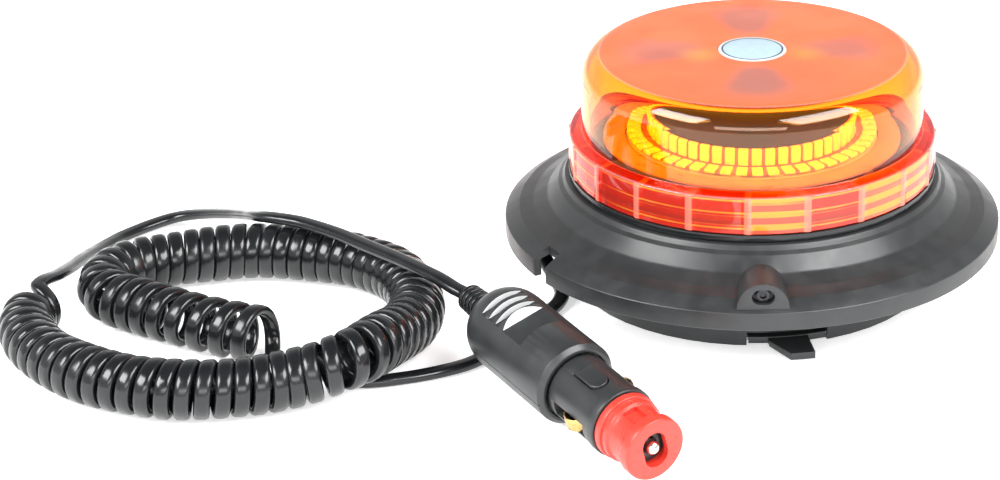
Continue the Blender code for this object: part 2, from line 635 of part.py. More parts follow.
def make_led_board():
    edge = OPTIC_FLANGE_RADIUS
    outline = [(LED_BOARD_HOLE, LED_BOARD_BOTTOM), (edge, LED_BOARD_BOTTOM),
               (edge, LED_BOARD_TOP), (LED_BOARD_HOLE, LED_BOARD_TOP)]
    board = turned("led_board", outline, material("white_board", (0.85, 0.85, 0.82), 0.5))
    chips = bmesh.new()
    for i in range(LED_COUNT):
        made = bmesh.ops.create_cube(chips, size=1.0)["verts"]
        bmesh.ops.scale(chips, vec=(LED_SIZE, LED_SIZE, LED_HEIGHT * 2), verts=made)
        bmesh.ops.translate(chips, vec=(LED_CIRCLE_RADIUS, 0, LED_BOARD_TOP), verts=made)
        turn = Matrix.Rotation(2 * math.pi * i / LED_COUNT, 3, "Z")
        bmesh.ops.rotate(chips, matrix=turn, verts=made)
    join(board, object_from(chips, "led_chips_tool", None))
    return board


def make_optic_ring():
    inner = OPTIC_WALL_RADIUS - 2.0 * MM
    outline = [(inner, OPTIC_BOTTOM), (OPTIC_FLANGE_RADIUS, OPTIC_BOTTOM),
               (OPTIC_FLANGE_RADIUS, OPTIC_BOTTOM + OPTIC_THICKNESS),
               (OPTIC_WALL_RADIUS, OPTIC_BOTTOM + OPTIC_THICKNESS),
               (OPTIC_WALL_RADIUS, OPTIC_TOP), (inner, OPTIC_TOP)]
    return turned("optic_ring", outline, yellow_optic())


def make_reflector():
    low = LED_BOARD_BOTTOM + 0.9 * MM
    inner = OPTIC_FLANGE_RADIUS + GAP
    outline = [(inner, low), (REFLECTOR_RADIUS, low), (REFLECTOR_RADIUS, low + REFLECTOR_THICKNESS),
               (inner, low + REFLECTOR_THICKNESS)]
    return turned("reflector_plate", outline, material("reflector_film", (0.9, 0.88, 0.84), 0.3))


def make_module_cap():
    radius = OPTIC_WALL_RADIUS - 2.0 * MM - GAP
    outline = [(0.0, SINK_TOP + GAP), (CAP_STEM_RADIUS, SINK_TOP + GAP),
               (CAP_STEM_RADIUS, CAP_TOP - CAP_THICKNESS), (radius, CAP_TOP - CAP_THICKNESS),
               (radius, CAP_TOP - 0.4 * MM), (radius - 0.4 * MM, CAP_TOP), (0.0, CAP_TOP)]
    return turned("module_cap", outline, material("dark_cap", (0.05, 0.045, 0.045), 0.45), 40)


def make_wire_clamp():
    return arc_block("wire_clamp", CLAMP_RADIUS - CLAMP_DEPTH, CLAMP_RADIUS, COLLAR_TOP + GAP,
                     CLAMP_TOP, CLAMP_AZIMUTH, CLAMP_ARC, black_plastic())


# ---------------------------------------------------------------- magnet foot

def make_magnet_housing():
    inner = DRUM_RADIUS - DRUM_WALL
    outline = [(WIRE_HOLE_RADIUS, DRUM_TOP), (DRUM_RADIUS - 0.8 * MM, DRUM_TOP),
               (DRUM_RADIUS, DRUM_TOP - 0.8 * MM), (DRUM_RADIUS, DRUM_BOTTOM), (inner, DRUM_BOTTOM),
               (inner, DRUM_CEILING), (WIRE_HOLE_RADIUS, DRUM_CEILING)]
    drum = turned("magnet_housing", outline, black_plastic())
    for i, azimuth in enumerate(FOOT_SCREW_AZIMUTHS):
        cut(drum, rod("foot_hole_tool_%d" % i, FOOT_SCREW_SHANK + GAP,
                      polar(FOOT_SCREW_RADIUS, azimuth, DRUM_CEILING - 1 * MM),
                      polar(FOOT_SCREW_RADIUS, azimuth, DRUM_TOP + 1 * MM), segments=16))
    cut(drum, arc_block("lever_slot_tool", LEVER_INNER - 1.5 * MM, DRUM_RADIUS + 2 * MM,
                        DRUM_BOTTOM - 1 * MM, LEVER_SLOT_TOP, LEVER_AZIMUTH, LEVER_ARC + 1.0))
    cut(drum, lever_pin_bar("lever_pin_tool", LEVER_PIN_RADIUS + GAP, LEVER_PIN_LENGTH + 1.0 * MM))
    cut(drum, rod("cord_hole_tool", GROMMET_NECK + GAP, polar(inner - 2 * MM, EXIT_AZIMUTH, EXIT_HEIGHT),
                  polar(DRUM_RADIUS + 2 * MM, EXIT_AZIMUTH, EXIT_HEIGHT)))
    return drum


def lever_pin_bar(name, radius, length, look=None):
    middle = polar(LEVER_AXIS_DISTANCE, LEVER_AZIMUTH, LEVER_AXIS_HEIGHT)
    along = polar(length / 2, LEVER_AZIMUTH + 90)
    return rod(name, radius, middle - along, middle + along, look, 16)


def make_magnet_stack():
    turned("magnet_pad", [(0.0, 0.0), (PAD_RADIUS - 0.4 * MM, 0.0), (PAD_RADIUS, 0.4 * MM),
                          (PAD_RADIUS, PAD_THICKNESS), (0.0, PAD_THICKNESS)], black_rubber())
    top = MAGNET_BOTTOM + MAGNET_THICKNESS
    turned("ring_magnet", [(MAGNET_INNER, MAGNET_BOTTOM), (MAGNET_OUTER, MAGNET_BOTTOM),
                           (MAGNET_OUTER, top), (MAGNET_INNER, top)],
           material("ferrite_magnet", (0.09, 0.09, 0.1), 0.55), 48)
    turned("pole_plate", [(0.0, POLE_BOTTOM), (MAGNET_OUTER, POLE_BOTTOM),
                          (MAGNET_OUTER, POLE_BOTTOM + POLE_THICKNESS), (0.0, POLE_BOTTOM + POLE_THICKNESS)],
           steel(), 48)


def make_foot_screws():
    for i, azimuth in enumerate(FOOT_SCREW_AZIMUTHS):
        head_top = polar(FOOT_SCREW_RADIUS, azimuth, DRUM_CEILING - GAP)
        down = Vector((0, 0, FOOT_SCREW_HEAD_HEIGHT))
        screw = rod("foot_screw_%d" % (i + 1), FOOT_SCREW_HEAD, head_top - down, head_top, steel(), 20)
        join(screw, rod("foot_shank_tool_%d" % i, FOOT_SCREW_SHANK, head_top - down / 2,
                        head_top + Vector((0, 0, FOOT_SCREW_LENGTH)), segments=16))


def make_release_lever():
    lever = arc_block("release_lever", LEVER_INNER, DRUM_RADIUS - 0.1 * MM, LEVER_BOTTOM,
                      LEVER_BOTTOM + LEVER_BAR_HEIGHT, LEVER_AZIMUTH, LEVER_ARC, black_plastic())
    join(lever, lever_tab())
    cut(lever, lever_pin_bar("lever_bore_tool", LEVER_PIN_RADIUS + GAP, LEVER_PIN_LENGTH + 4 * MM))
    lever_pin_bar("lever_pin", LEVER_PIN_RADIUS, LEVER_PIN_LENGTH, steel())
    pivot = polar(LEVER_AXIS_DISTANCE, LEVER_AZIMUTH, LEVER_AXIS_HEIGHT)
    lever.data.transform(Matrix.Translation(-pivot))
    for step in lever.modifiers:
        step.object.data.transform(Matrix.Translation(-pivot))
        step.object.location = pivot
    lever.location = pivot
    return lever


def lever_tab():
    """A finger tab that slopes down to the floor, slanted on its left side."""
    outward = polar(1.0, LEVER_AZIMUTH)
    sideways = polar(1.0, LEVER_AZIMUTH + 90)
    root = LEVER_INNER + 1.2 * MM
    half = LEVER_ROOT_WIDTH / 2
    tip_left = half - LEVER_TIP_WIDTH
    slant_start = DRUM_RADIUS + 1.5 * MM
    outline = [(root, -half), (slant_start, -half), (LEVER_REACH, tip_left),
               (LEVER_REACH, half), (root, half)]
    bm = bmesh.new()
    rings = []
    for is_top in (False, True):
        ring = []
        for reach, side in outline:
            share = (reach - root) / (LEVER_REACH - root)
            low = LEVER_BOTTOM + 0.2 * MM - (LEVER_BOTTOM - 0.2 * MM) * share
            high = LEVER_BOTTOM + LEVER_BAR_HEIGHT - 0.2 * MM - 0.6 * MM * share
            spot = outward * reach + sideways * side
            ring.append(bm.verts.new((spot.x, spot.y, high if is_top else low)))
        rings.append(ring)
    bm.faces.new(rings[0])
    bm.faces.new(rings[1])
    for i in range(len(outline)):
        k = (i + 1) % len(outline)
        bm.faces.new([rings[0][i], rings[0][k], rings[1][k], rings[1][i]])
    return object_from(bm, "lever_tab_tool", None)


# ---------------------------------------------------------------- cord

def smooth_points(route, spacing):
    """Even points along a Catmull-Rom curve through the route's points."""
    ends = [route[0] * 2 - route[1]] + list(route) + [route[-1] * 2 - route[-2]]
    fine = []
    for i in range(1, len(ends) - 2):
        for step in range(12):
            fine.append(catmull_rom(ends[i - 1:i + 3], step / 12))
    fine.append(route[-1])
    travelled = [0.0]
    for a, b in zip(fine, fine[1:]):
        travelled.append(travelled[-1] + (b - a).length)
    count = max(2, round(travelled[-1] / spacing))
    points = []
    index = 0
    for i in range(count + 1):
        wanted = travelled[-1] * i / count
        while index < len(fine) - 2 and travelled[index + 1] < wanted:
            index += 1
        share = (wanted - travelled[index]) / (travelled[index + 1] - travelled[index])
        points.append(fine[index].lerp(fine[index + 1], min(share, 1.0)))
    return points


def catmull_rom(points, t):
    a, b, c, d = points
    return 0.5 * (2 * b + (c - a) * t + (2 * a - 5 * b + 4 * c - d) * t ** 2
                  + (3 * b - a - 3 * c + d) * t ** 3)


def tube(name, points, radius, resolution, look):
    curve = bpy.data.curves.new(name, "CURVE")
    curve.dimensions = "3D"
    curve.bevel_depth = radius
    curve.bevel_resolution = resolution
    curve.use_fill_caps = True
    spline = curve.splines.new("POLY")
    spline.points.add(len(points) - 1)
    for point, place_at in zip(spline.points, points):
        point.co = (*place_at, 1.0)
    curve.materials.append(look)
    obj = bpy.data.objects.new(name, curve)
    bpy.context.collection.objects.link(obj)
    return obj


def in_metres(route):
    return [Vector(point) * MM for point in route]


def exit_face():
    """Outer face of the grommet, where the cord starts."""
    return polar(DRUM_RADIUS + GROMMET_FLANGE + 2 * GAP, EXIT_AZIMUTH, EXIT_HEIGHT)


def make_cord():
    coil = in_metres(COIL_ROUTE)
    first_way = (coil[0] - coil[1]).normalized()
    last_way = (coil[-1] - coil[-2]).normalized()
    high_face = coil[0] + first_way * GAP + Vector((0, 0, COIL_LEAD_OFFSET_HIGH))
    low_face = coil[-1] + last_way * GAP - Vector((0, 0, COIL_LEAD_OFFSET_LOW))
    after_high = high_face + first_way * LEAD_STRAIGHT
    before_low = low_face + last_way * LEAD_STRAIGHT
    plug = plug_frame()
    boot_face = plug @ Vector((-GAP, 0, 0))
    before_boot = plug @ Vector((-LEAD_STRAIGHT, 0, 0))
    from_beacon = [exit_face()] + in_metres(LEAD_FROM_BEACON) + [before_low, low_face]
    to_plug = [high_face, after_high] + in_metres(LEAD_TO_PLUG) + [before_boot, boot_face]
    tube("cord_lead_beacon", smooth_points(from_beacon, 4.6 * MM), CORD_RADIUS, 2, black_rubber())
    tube("cord_coil", smooth_points(coil, 7.0 * MM), COIL_RADIUS, 3, black_rubber())
    tube("cord_lead_plug", smooth_points(to_plug, 6.2 * MM), CORD_RADIUS, 2, black_rubber())


def make_grommet():
    outer = DRUM_RADIUS + GAP
    flange = rod("cord_grommet", GROMMET_RADIUS, polar(outer, EXIT_AZIMUTH, EXIT_HEIGHT),
                 polar(outer + GROMMET_FLANGE, EXIT_AZIMUTH, EXIT_HEIGHT), black_rubber())
    join(flange, rod("grommet_neck_tool", GROMMET_NECK,
                     polar(DRUM_RADIUS - DRUM_WALL - 1.0 * MM, EXIT_AZIMUTH, EXIT_HEIGHT),
                     polar(outer + 0.5 * MM, EXIT_AZIMUTH, EXIT_HEIGHT), segments=20))
    return flange


# ---------------------------------------------------------------- plug

def plug_frame():
    """Matrix from the plug's own frame (X along it, Z up) to the world, with its roll."""
    turn = Matrix.Rotation(math.radians(PLUG_AZIMUTH), 4, "Z")
    dip = Matrix.Rotation(math.radians(PLUG_DIP), 4, "Y")
    roll = Matrix.Rotation(math.radians(PLUG_ROLL), 4, "X")
    return Matrix.Translation(PLUG_START) @ turn @ dip @ roll


def on_plug(obj):
    """Put a piece that is modelled in the plug's own frame where the plug lies."""
    obj.parent = bpy.data.objects["plug_axis"]
    for step in obj.modifiers:
        if step.object.parent is None:
            step.object.parent = obj.parent
    return obj


def plug_turned(name, outline, look, segments=40):
    """Turn a (position, radius) outline about the plug's axis."""
    bm = turned_bmesh([(radius, along) for along, radius in outline], segments)
    bmesh.ops.rotate(bm, matrix=Matrix.Rotation(math.radians(90), 3, "Y"), verts=bm.verts)
    return object_from(bm, name, look)


def make_boot():
    pitch = (GRIP_REAR - 1.2 * MM) / BOOT_RIB_COUNT
    outline = [(0.0, 0.0)]
    for i in range(BOOT_RIB_COUNT):
        start = 0.3 * MM + pitch * i
        outline += [(start, BOOT_RADIUS - 0.3 * MM), (start + 0.3 * pitch, BOOT_RADIUS + BOOT_RIB_PROUD),
                    (start + 0.7 * pitch, BOOT_RADIUS + BOOT_RIB_PROUD)]
    neck = GRIP_REAR + GRIP_WALL - 0.5 * MM
    outline += [(GRIP_REAR - GAP, BOOT_RADIUS), (GRIP_REAR - GAP, BOOT_NECK_RADIUS),
                (neck, BOOT_NECK_RADIUS), (neck, 0.0)]
    return on_plug(plug_turned("plug_boot", outline, black_rubber(), 16))


def make_grip():
    rear_radius = BOOT_RADIUS + 0.9 * MM
    shoulder = GRIP_SHOULDER - GRIP_REAR
    rise = GRIP_RADIUS - rear_radius
    outline = [(GRIP_REAR, BOOT_NECK_RADIUS + GAP)]
    for i in range(6):
        turn = math.radians(18.0 * i)
        outline.append((GRIP_REAR + shoulder * (1 - math.cos(turn)), rear_radius + rise * math.sin(turn)))
    outline += [(GRIP_FRONT - GRIP_CHAMFER, GRIP_RADIUS), (GRIP_FRONT, GRIP_RADIUS - GRIP_CHAMFER),
                (GRIP_FRONT, BARREL_TENON_RADIUS + GAP), (GRIP_FRONT - 2.0 * MM, BARREL_TENON_RADIUS + GAP),
                (GRIP_FRONT - 2.0 * MM, GRIP_BORE), (GRIP_SHOULDER, GRIP_BORE),
                (GRIP_REAR + GRIP_WALL, BOOT_NECK_RADIUS + 1.5 * MM),
                (GRIP_REAR + GRIP_WALL, BOOT_NECK_RADIUS + GAP)]
    grip = plug_turned("plug_grip", outline, black_plastic(), 32)
    for i, (start, length) in enumerate(grip_slots()):
        depth = GRIP_SLOT_DEPTH + 3 * MM
        slot = box("grip_slot_tool_%d" % i, (length, 2.4 * GRIP_RADIUS, depth),
                   (start + length / 2, 0, GRIP_RADIUS - GRIP_SLOT_DEPTH + depth / 2))
        cut(grip, slot)
    return on_plug(grip)


def grip_slots():
    """(start, length) of the narrow finger slots and of the wide flat after them."""
    slots = [(GRIP_SLOT_START + GRIP_SLOT_PITCH * i, GRIP_SLOT_LENGTH) for i in range(GRIP_SLOT_COUNT)]
    return slots + [(GRIP_FLAT_START, GRIP_FLAT_LENGTH)]


def make_grip_core():
    end = BARREL_MAIN_START - 13.5 * MM
    radius = GRIP_BORE - 0.8 * MM
    outline = [(GRIP_SHOULDER + 1 * MM, 0.0), (GRIP_SHOULDER + 1 * MM, radius), (end, radius), (end, 0.0)]
    return on_plug(plug_turned("wire_block", outline, material("pale_insert", (0.7, 0.71, 0.7), 0.5), 32))


def make_barrel():
    flange_start = GRIP_FRONT - 5.0 * MM
    flange_end = GRIP_FRONT - 2.0 * MM - GAP
    collar = BARREL_RADIUS + BARREL_COLLAR_PROUD
    collar_start = BARREL_FRONT - BARREL_COLLAR_LENGTH
    outline = [(flange_start, BARREL_BORE), (flange_start, BARREL_FLANGE_RADIUS),
               (flange_end, BARREL_FLANGE_RADIUS), (flange_end, BARREL_TENON_RADIUS),
               (BARREL_MAIN_START, BARREL_TENON_RADIUS), (BARREL_MAIN_START, BARREL_RADIUS),
               (collar_start, BARREL_RADIUS), (collar_start, collar),
               (BARREL_FRONT - 0.4 * MM, collar), (BARREL_FRONT, collar - 0.4 * MM),
               (BARREL_FRONT, BARREL_BORE)]
    barrel = plug_turned("plug_barrel", outline, black_plastic(), 32)
    for side in (-1, 1):
        window = box("window_tool_%d" % (side + 1), (WINDOW_LENGTH, 6 * MM, SPRING_WIDTH + 2 * GAP),
                     (WINDOW_START + WINDOW_LENGTH / 2, side * BARREL_RADIUS, 0))
        cut(barrel, window)
    cut(barrel, latch_plate("latch_window_tool", LATCH_WIDTH + 2 * GAP, LATCH_LENGTH + 2 * GAP,
                            BARREL_BORE - 1 * MM, BARREL_RADIUS + 2 * MM, None))
    return on_plug(barrel)


def latch_plate(name, width, length, low, high, look):
    """A tongue with a square root end and a round front end, on top of the barrel."""
    middle = LATCH_START + LATCH_LENGTH / 2
    half = width / 2
    outline = [(middle - length / 2, half), (middle - length / 2, -half)]
    outline += arc((middle + length / 2 - half, 0.0), half, -90, 90, 8)
    return prism(name, outline, low, high, look)


def make_latch():
    top = BARREL_RADIUS + LATCH_PROUD
    latch = latch_plate("plug_latch", LATCH_WIDTH, LATCH_LENGTH, top - LATCH_THICKNESS, top, black_plastic())
    return on_plug(latch)


def spring_path():
    """(position, radius) along the middle of a side contact, which bows outwards."""
    start = WINDOW_START + 1.0 * MM
    length = WINDOW_LENGTH - 2.0 * MM
    low = BARREL_BORE - 0.3 * MM
    rise = BARREL_RADIUS + SPRING_PROUD - low - SPRING_THICKNESS / 2
    shares = [(0.0, 0.0), (0.1, 0.02), (0.28, 0.45), (0.45, 0.9), (0.6, 1.0), (0.76, 0.82),
              (0.9, 0.3), (1.0, 0.05)]
    return [(start + length * along, low + rise * up) for along, up in shares]


def make_side_contacts():
    path = spring_path()
    for name, side in (("contact_spring_left", -1), ("contact_spring_right", 1)):
        outline = [(x, side * (y + SPRING_THICKNESS / 2)) for x, y in path]
        outline += [(x, side * (y - SPRING_THICKNESS / 2)) for x, y in reversed(path)]
        spring = prism(name, outline, -SPRING_WIDTH / 2, SPRING_WIDTH / 2, brass())
        on_plug(spring)


def make_adapter():
    start = ADAPTER_START
    sleeve = BARREL_FRONT - ADAPTER_SLEEVE_LENGTH
    flange = start + 2.4 * MM
    shoulder = flange + 2.6 * MM
    waist_end = ADAPTER_END - 3.6 * MM
    outline = [(sleeve, ADAPTER_BORE), (sleeve, ADAPTER_SLEEVE_RADIUS), (start, ADAPTER_SLEEVE_RADIUS),
               (start, ADAPTER_RADIUS), (flange, ADAPTER_RADIUS),
               (flange, ADAPTER_WAIST_RADIUS + 0.4 * MM), (flange + 0.9 * MM, ADAPTER_WAIST_RADIUS + 0.4 * MM),
               (flange + 0.9 * MM, ADAPTER_RADIUS - 0.5 * MM), (shoulder, ADAPTER_RADIUS - 0.5 * MM),
               (shoulder + 0.5 * MM, ADAPTER_WAIST_RADIUS), (waist_end, ADAPTER_WAIST_RADIUS),
               (waist_end + 0.3 * MM, ADAPTER_END_RADIUS), (ADAPTER_END - 0.6 * MM, ADAPTER_END_RADIUS),
               (ADAPTER_END, ADAPTER_END_RADIUS - 0.6 * MM), (ADAPTER_END, 0.0),
               (ADAPTER_END - ADAPTER_WALL, 0.0), (ADAPTER_END - ADAPTER_WALL, ADAPTER_BORE)]
    adapter = plug_turned("adapter_cap", outline, red_plastic(), 32)
    slot = prism("adapter_slot_tool", stadium(ADAPTER_SLOT_WIDTH, ADAPTER_SLOT_HEIGHT),
                 ADAPTER_END - ADAPTER_WALL - 1 * MM, ADAPTER_END + 1 * MM)
    slot.data.transform(Matrix(((0, 0, 1, 0), (1, 0, 0, 0), (0, 1, 0, 0), (0, 0, 0, 1))))
    cut(adapter, slot)
    notch_start = shoulder + 0.5 * MM
    notch = box("adapter_notch_tool", (waist_end - notch_start, 4.6 * MM, 3 * MM),
                ((notch_start + waist_end) / 2, 0, ADAPTER_WAIST_RADIUS + 0.3 * MM))
    cut(adapter, notch)
    return on_plug(adapter)


def make_nose():
    start = GRIP_FRONT - 5.0 * MM
    front = NOSE_END - ADAPTER_WALL - GAP
    outline = [(start, NOSE_BORE), (start, NOSE_FLANGE_RADIUS), (start + 2.0 * MM, NOSE_FLANGE_RADIUS),
               (start + 2.0 * MM, NOSE_RADIUS), (front - 0.4 * MM, NOSE_RADIUS), (front, NOSE_RADIUS - 0.4 * MM),
               (front, TIP_RADIUS + GAP), (front - NOSE_WALL, TIP_RADIUS + GAP), (front - NOSE_WALL, NOSE_BORE)]
    return on_plug(plug_turned("plug_nose", outline, black_plastic(), 20))


def nose_front():
    return NOSE_END - ADAPTER_WALL - GAP


def make_tip():
    flange_front = nose_front() - NOSE_WALL - GAP
    outline = [(flange_front - 1.0 * MM, 0.0), (flange_front - 1.0 * MM, TIP_FLANGE_RADIUS),
               (flange_front, TIP_FLANGE_RADIUS), (flange_front, TIP_RADIUS)]
    centre = nose_front() + TIP_PROUD - TIP_RADIUS
    for i in range(5):
        turn = math.radians(90.0 * i / 4)
        outline.append((centre + TIP_RADIUS * math.sin(turn), TIP_RADIUS * math.cos(turn)))
    outline[-1] = (outline[-1][0], 0.0)
    look = material("nickel", (0.8, 0.79, 0.76), 0.18, 1.0)
    return on_plug(plug_turned("tip_contact", outline, look, 24))


def make_tip_spring():
    end = nose_front() - NOSE_WALL - GAP - 1.0 * MM - TIP_TRAVEL - GAP - TIP_SPRING_WIRE
    start = fuse_end() + GAP + TIP_SPRING_WIRE
    per_turn = 8
    points = []
    for i in range(TIP_SPRING_TURNS * per_turn + 1):
        turn = 2 * math.pi * i / per_turn
        along = start + (end - start) * i / (TIP_SPRING_TURNS * per_turn)
        points.append(Vector((along, TIP_SPRING_RADIUS * math.cos(turn), TIP_SPRING_RADIUS * math.sin(turn))))
    return on_plug(tube("tip_spring", points, TIP_SPRING_WIRE, 1, steel()))


def fuse_end():
    return nose_front() - NOSE_WALL - 12.0 * MM


def make_fuse():
    start = fuse_end() - FUSE_LENGTH
    outline = [(start, 0.0), (start, FUSE_RADIUS), (start + 5 * MM, FUSE_RADIUS),
               (start + 5 * MM, FUSE_RADIUS - 0.3 * MM), (fuse_end() - 5 * MM, FUSE_RADIUS - 0.3 * MM),
               (fuse_end() - 5 * MM, FUSE_RADIUS), (fuse_end(), FUSE_RADIUS), (fuse_end(), 0.0)]
    return on_plug(plug_turned("glass_fuse", outline, material("fuse_glass", (0.8, 0.83, 0.82), 0.1), 20))


def make_plug():
    axis = bpy.data.objects.new("plug_axis", None)
    bpy.context.collection.objects.link(axis)
    axis.matrix_world = plug_frame()
    make_boot()
    make_grip()
    make_grip_core()
    make_barrel()
    make_latch()
    make_side_contacts()
    make_adapter()
    make_nose()
    make_tip()
    make_tip_spring()
    make_fuse()


def main():
    clear_scene()
    make_lens()
    make_label()
    make_gasket()
    make_base()
    make_locking_screws()
    make_driver()
    make_heat_sink()
    make_led_board()
    make_optic_ring()
    make_reflector()
    make_module_cap()
    make_wire_clamp()
    make_magnet_housing()
    make_magnet_stack()
    make_foot_screws()
    make_release_lever()
    make_grommet()
    make_cord()
    make_plug()


main()
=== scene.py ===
"""Amber LED warning beacon with a magnetic foot, a coiled cord and a lighter-socket plug."""

import json
import math

import bmesh
import bpy
import numpy as np
from mathutils import Matrix, Vector

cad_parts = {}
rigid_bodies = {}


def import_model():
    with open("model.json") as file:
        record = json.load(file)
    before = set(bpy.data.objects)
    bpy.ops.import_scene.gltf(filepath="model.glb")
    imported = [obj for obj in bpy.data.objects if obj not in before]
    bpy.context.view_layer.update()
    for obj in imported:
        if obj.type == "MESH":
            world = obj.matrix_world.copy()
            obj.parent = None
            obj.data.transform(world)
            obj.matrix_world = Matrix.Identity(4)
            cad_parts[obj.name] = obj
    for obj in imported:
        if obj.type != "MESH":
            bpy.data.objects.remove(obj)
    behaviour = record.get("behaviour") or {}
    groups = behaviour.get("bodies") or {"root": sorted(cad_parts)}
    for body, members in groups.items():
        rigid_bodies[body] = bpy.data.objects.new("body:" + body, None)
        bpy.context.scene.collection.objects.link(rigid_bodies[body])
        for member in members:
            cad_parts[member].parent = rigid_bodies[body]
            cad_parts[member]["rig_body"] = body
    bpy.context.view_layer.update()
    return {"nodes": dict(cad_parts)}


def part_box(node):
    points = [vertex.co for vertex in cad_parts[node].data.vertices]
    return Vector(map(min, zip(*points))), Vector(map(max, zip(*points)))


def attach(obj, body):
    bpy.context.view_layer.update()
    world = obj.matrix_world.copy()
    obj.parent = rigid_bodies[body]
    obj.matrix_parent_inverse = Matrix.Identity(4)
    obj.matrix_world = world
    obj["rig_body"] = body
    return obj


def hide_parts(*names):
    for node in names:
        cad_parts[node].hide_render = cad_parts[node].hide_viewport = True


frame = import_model()

MM = 0.001
RIB_COUNT = 20
RIB_PHASE = math.radians(-93.8)


# ---------------------------------------------------------------- camera

CAMERA_PLACE = Vector((-0.044562, -0.822816, 0.382316))
CAMERA_AIM = Vector((-0.079884, -0.003154, 0.012305))
CAMERA_ROLL = -1.57
CAMERA_LENS = 101.3
SENSOR_WIDTH = 36.0


def make_camera():
    data = bpy.data.cameras.new("camera")
    data.lens = CAMERA_LENS
    data.sensor_width = SENSOR_WIDTH
    data.clip_start = 0.01
    data.clip_end = 50.0
    camera = bpy.data.objects.new("camera", data)
    bpy.context.scene.collection.objects.link(camera)
    turn = (CAMERA_AIM - CAMERA_PLACE).to_track_quat("-Z", "Y").to_matrix().to_4x4()
    roll = Matrix.Rotation(math.radians(CAMERA_ROLL), 4, "Z")
    camera.matrix_world = Matrix.Translation(CAMERA_PLACE) @ turn @ roll
    bpy.context.scene.camera = camera


make_camera()


# ---------------------------------------------------------------- materials

class Shader:
    """A node material: the Principled shader and short ways to add nodes to it."""

    def __init__(self, name, colour, roughness, metallic=0.0):
        self.material = bpy.data.materials.new(name)
        self.material.use_nodes = True
        self.tree = self.material.node_tree
        self.principled = self.tree.nodes["Principled BSDF"]
        self.output = self.tree.nodes["Material Output"]
        self.set("Base Color", (*colour, 1.0))
        self.set("Roughness", roughness)
        self.set("Metallic", metallic)
        self.colour = colour
        self.roughness = roughness
        self.point = self.node("ShaderNodeTexCoord").outputs["Object"]

    def node(self, kind, **values):
        made = self.tree.nodes.new(kind)
        for key, value in values.items():
            setattr(made, key, value)
        return made

    def link(self, a, b):
        self.tree.links.new(a, b)

    def set(self, socket, value):
        self.principled.inputs[socket].default_value = value

    def noise(self, scale, detail=3.0, stretch=None, roughness=0.55):
        made = self.node("ShaderNodeTexNoise")
        made.inputs["Scale"].default_value = scale
        made.inputs["Detail"].default_value = detail
        made.inputs["Roughness"].default_value = roughness
        source = self.point
        if stretch:
            mapping = self.node("ShaderNodeMapping")
            mapping.inputs["Scale"].default_value = stretch
            self.link(source, mapping.inputs["Vector"])
            source = mapping.outputs["Vector"]
        self.link(source, made.inputs["Vector"])
        return made.outputs["Fac"]

    def maths(self, operation, a, b=None, c=None):
        made = self.node("ShaderNodeMath", operation=operation)
        for place, value in enumerate((a, b, c)):
            if value is None:
                continue
            if isinstance(value, (int, float)):
                made.inputs[place].default_value = value
            else:
                self.link(value, made.inputs[place])
        return made.outputs["Value"]

    def spread(self, value, low, high, out_low=0.0, out_high=1.0):
        made = self.node("ShaderNodeMapRange", interpolation_type="SMOOTHSTEP")
        made.inputs["From Min"].default_value = low
        made.inputs["From Max"].default_value = high
        made.inputs["To Min"].default_value = out_low
        made.inputs["To Max"].default_value = out_high
        self.link(value, made.inputs["Value"])
        return made.outputs["Result"]

    def mix(self, factor, a, b):
        made = self.node("ShaderNodeMix", data_type="RGBA")
        self.link(factor, made.inputs["Factor"])
        for socket, value in ((made.inputs[6], a), (made.inputs[7], b)):
            if isinstance(value, tuple):
                socket.default_value = (*value, 1.0)
            else:
                self.link(value, socket)
        return made.outputs[2]

    def vary(self, scale, amount, rough_amount, stretch=None):
        """Cloudy changes of colour and roughness, as moulding and handling leave."""
        cloud = self.noise(scale, 4.0, stretch)
        dark = tuple(c * (1.0 - amount) for c in self.colour)
        light = tuple(min(1.0, c * (1.0 + amount)) for c in self.colour)
        tone = self.mix(self.spread(cloud, 0.35, 0.65), dark, light)
        self.link(tone, self.principled.inputs["Base Color"])
        rough = self.spread(
            cloud, 0.3, 0.7, self.roughness - rough_amount, self.roughness + rough_amount
        )
        self.link(rough, self.principled.inputs["Roughness"])
        return tone

    def bump(self, height, strength, distance):
        made = self.node("ShaderNodeBump")
        made.inputs["Strength"].default_value = strength
        made.inputs["Distance"].default_value = distance
        self.link(height, made.inputs["Height"])
        self.link(made.outputs["Normal"], self.principled.inputs["Normal"])


def moulded(name, colour, roughness, grain=3200.0, grain_depth=0.00002, amount=0.12):
    """Moulded plastic or rubber with a fine spark-eroded grain."""
    made = Shader(name, colour, roughness)
    made.vary(120.0, amount, 0.05)
    made.bump(made.noise(grain, 2.0), 0.35, grain_depth)
    made.set("Specular IOR Level", 0.5)
    return made.material


def plated(name, colour, roughness, stretch=(1.0, 1.0, 1.0)):
    """Drawn or plated metal with fine lines and a cloudy tarnish."""
    made = Shader(name, colour, roughness, metallic=1.0)
    made.vary(400.0, 0.15, 0.06, stretch)
    made.bump(made.noise(2500.0, 3.0, stretch), 0.25, 0.00001)
    return made.material


# Heights in metres between which the lens's hazy top and its banded skirt fade in.
TOP_FADE = (0.0744, 0.0748)
SKIRT_FADE = (0.0488, 0.0494)
# The skirt's painted refraction of the inner threads repeats at these two pitches.
BAND_PITCH = 0.0043
RIPPLE_PITCH = 0.0013


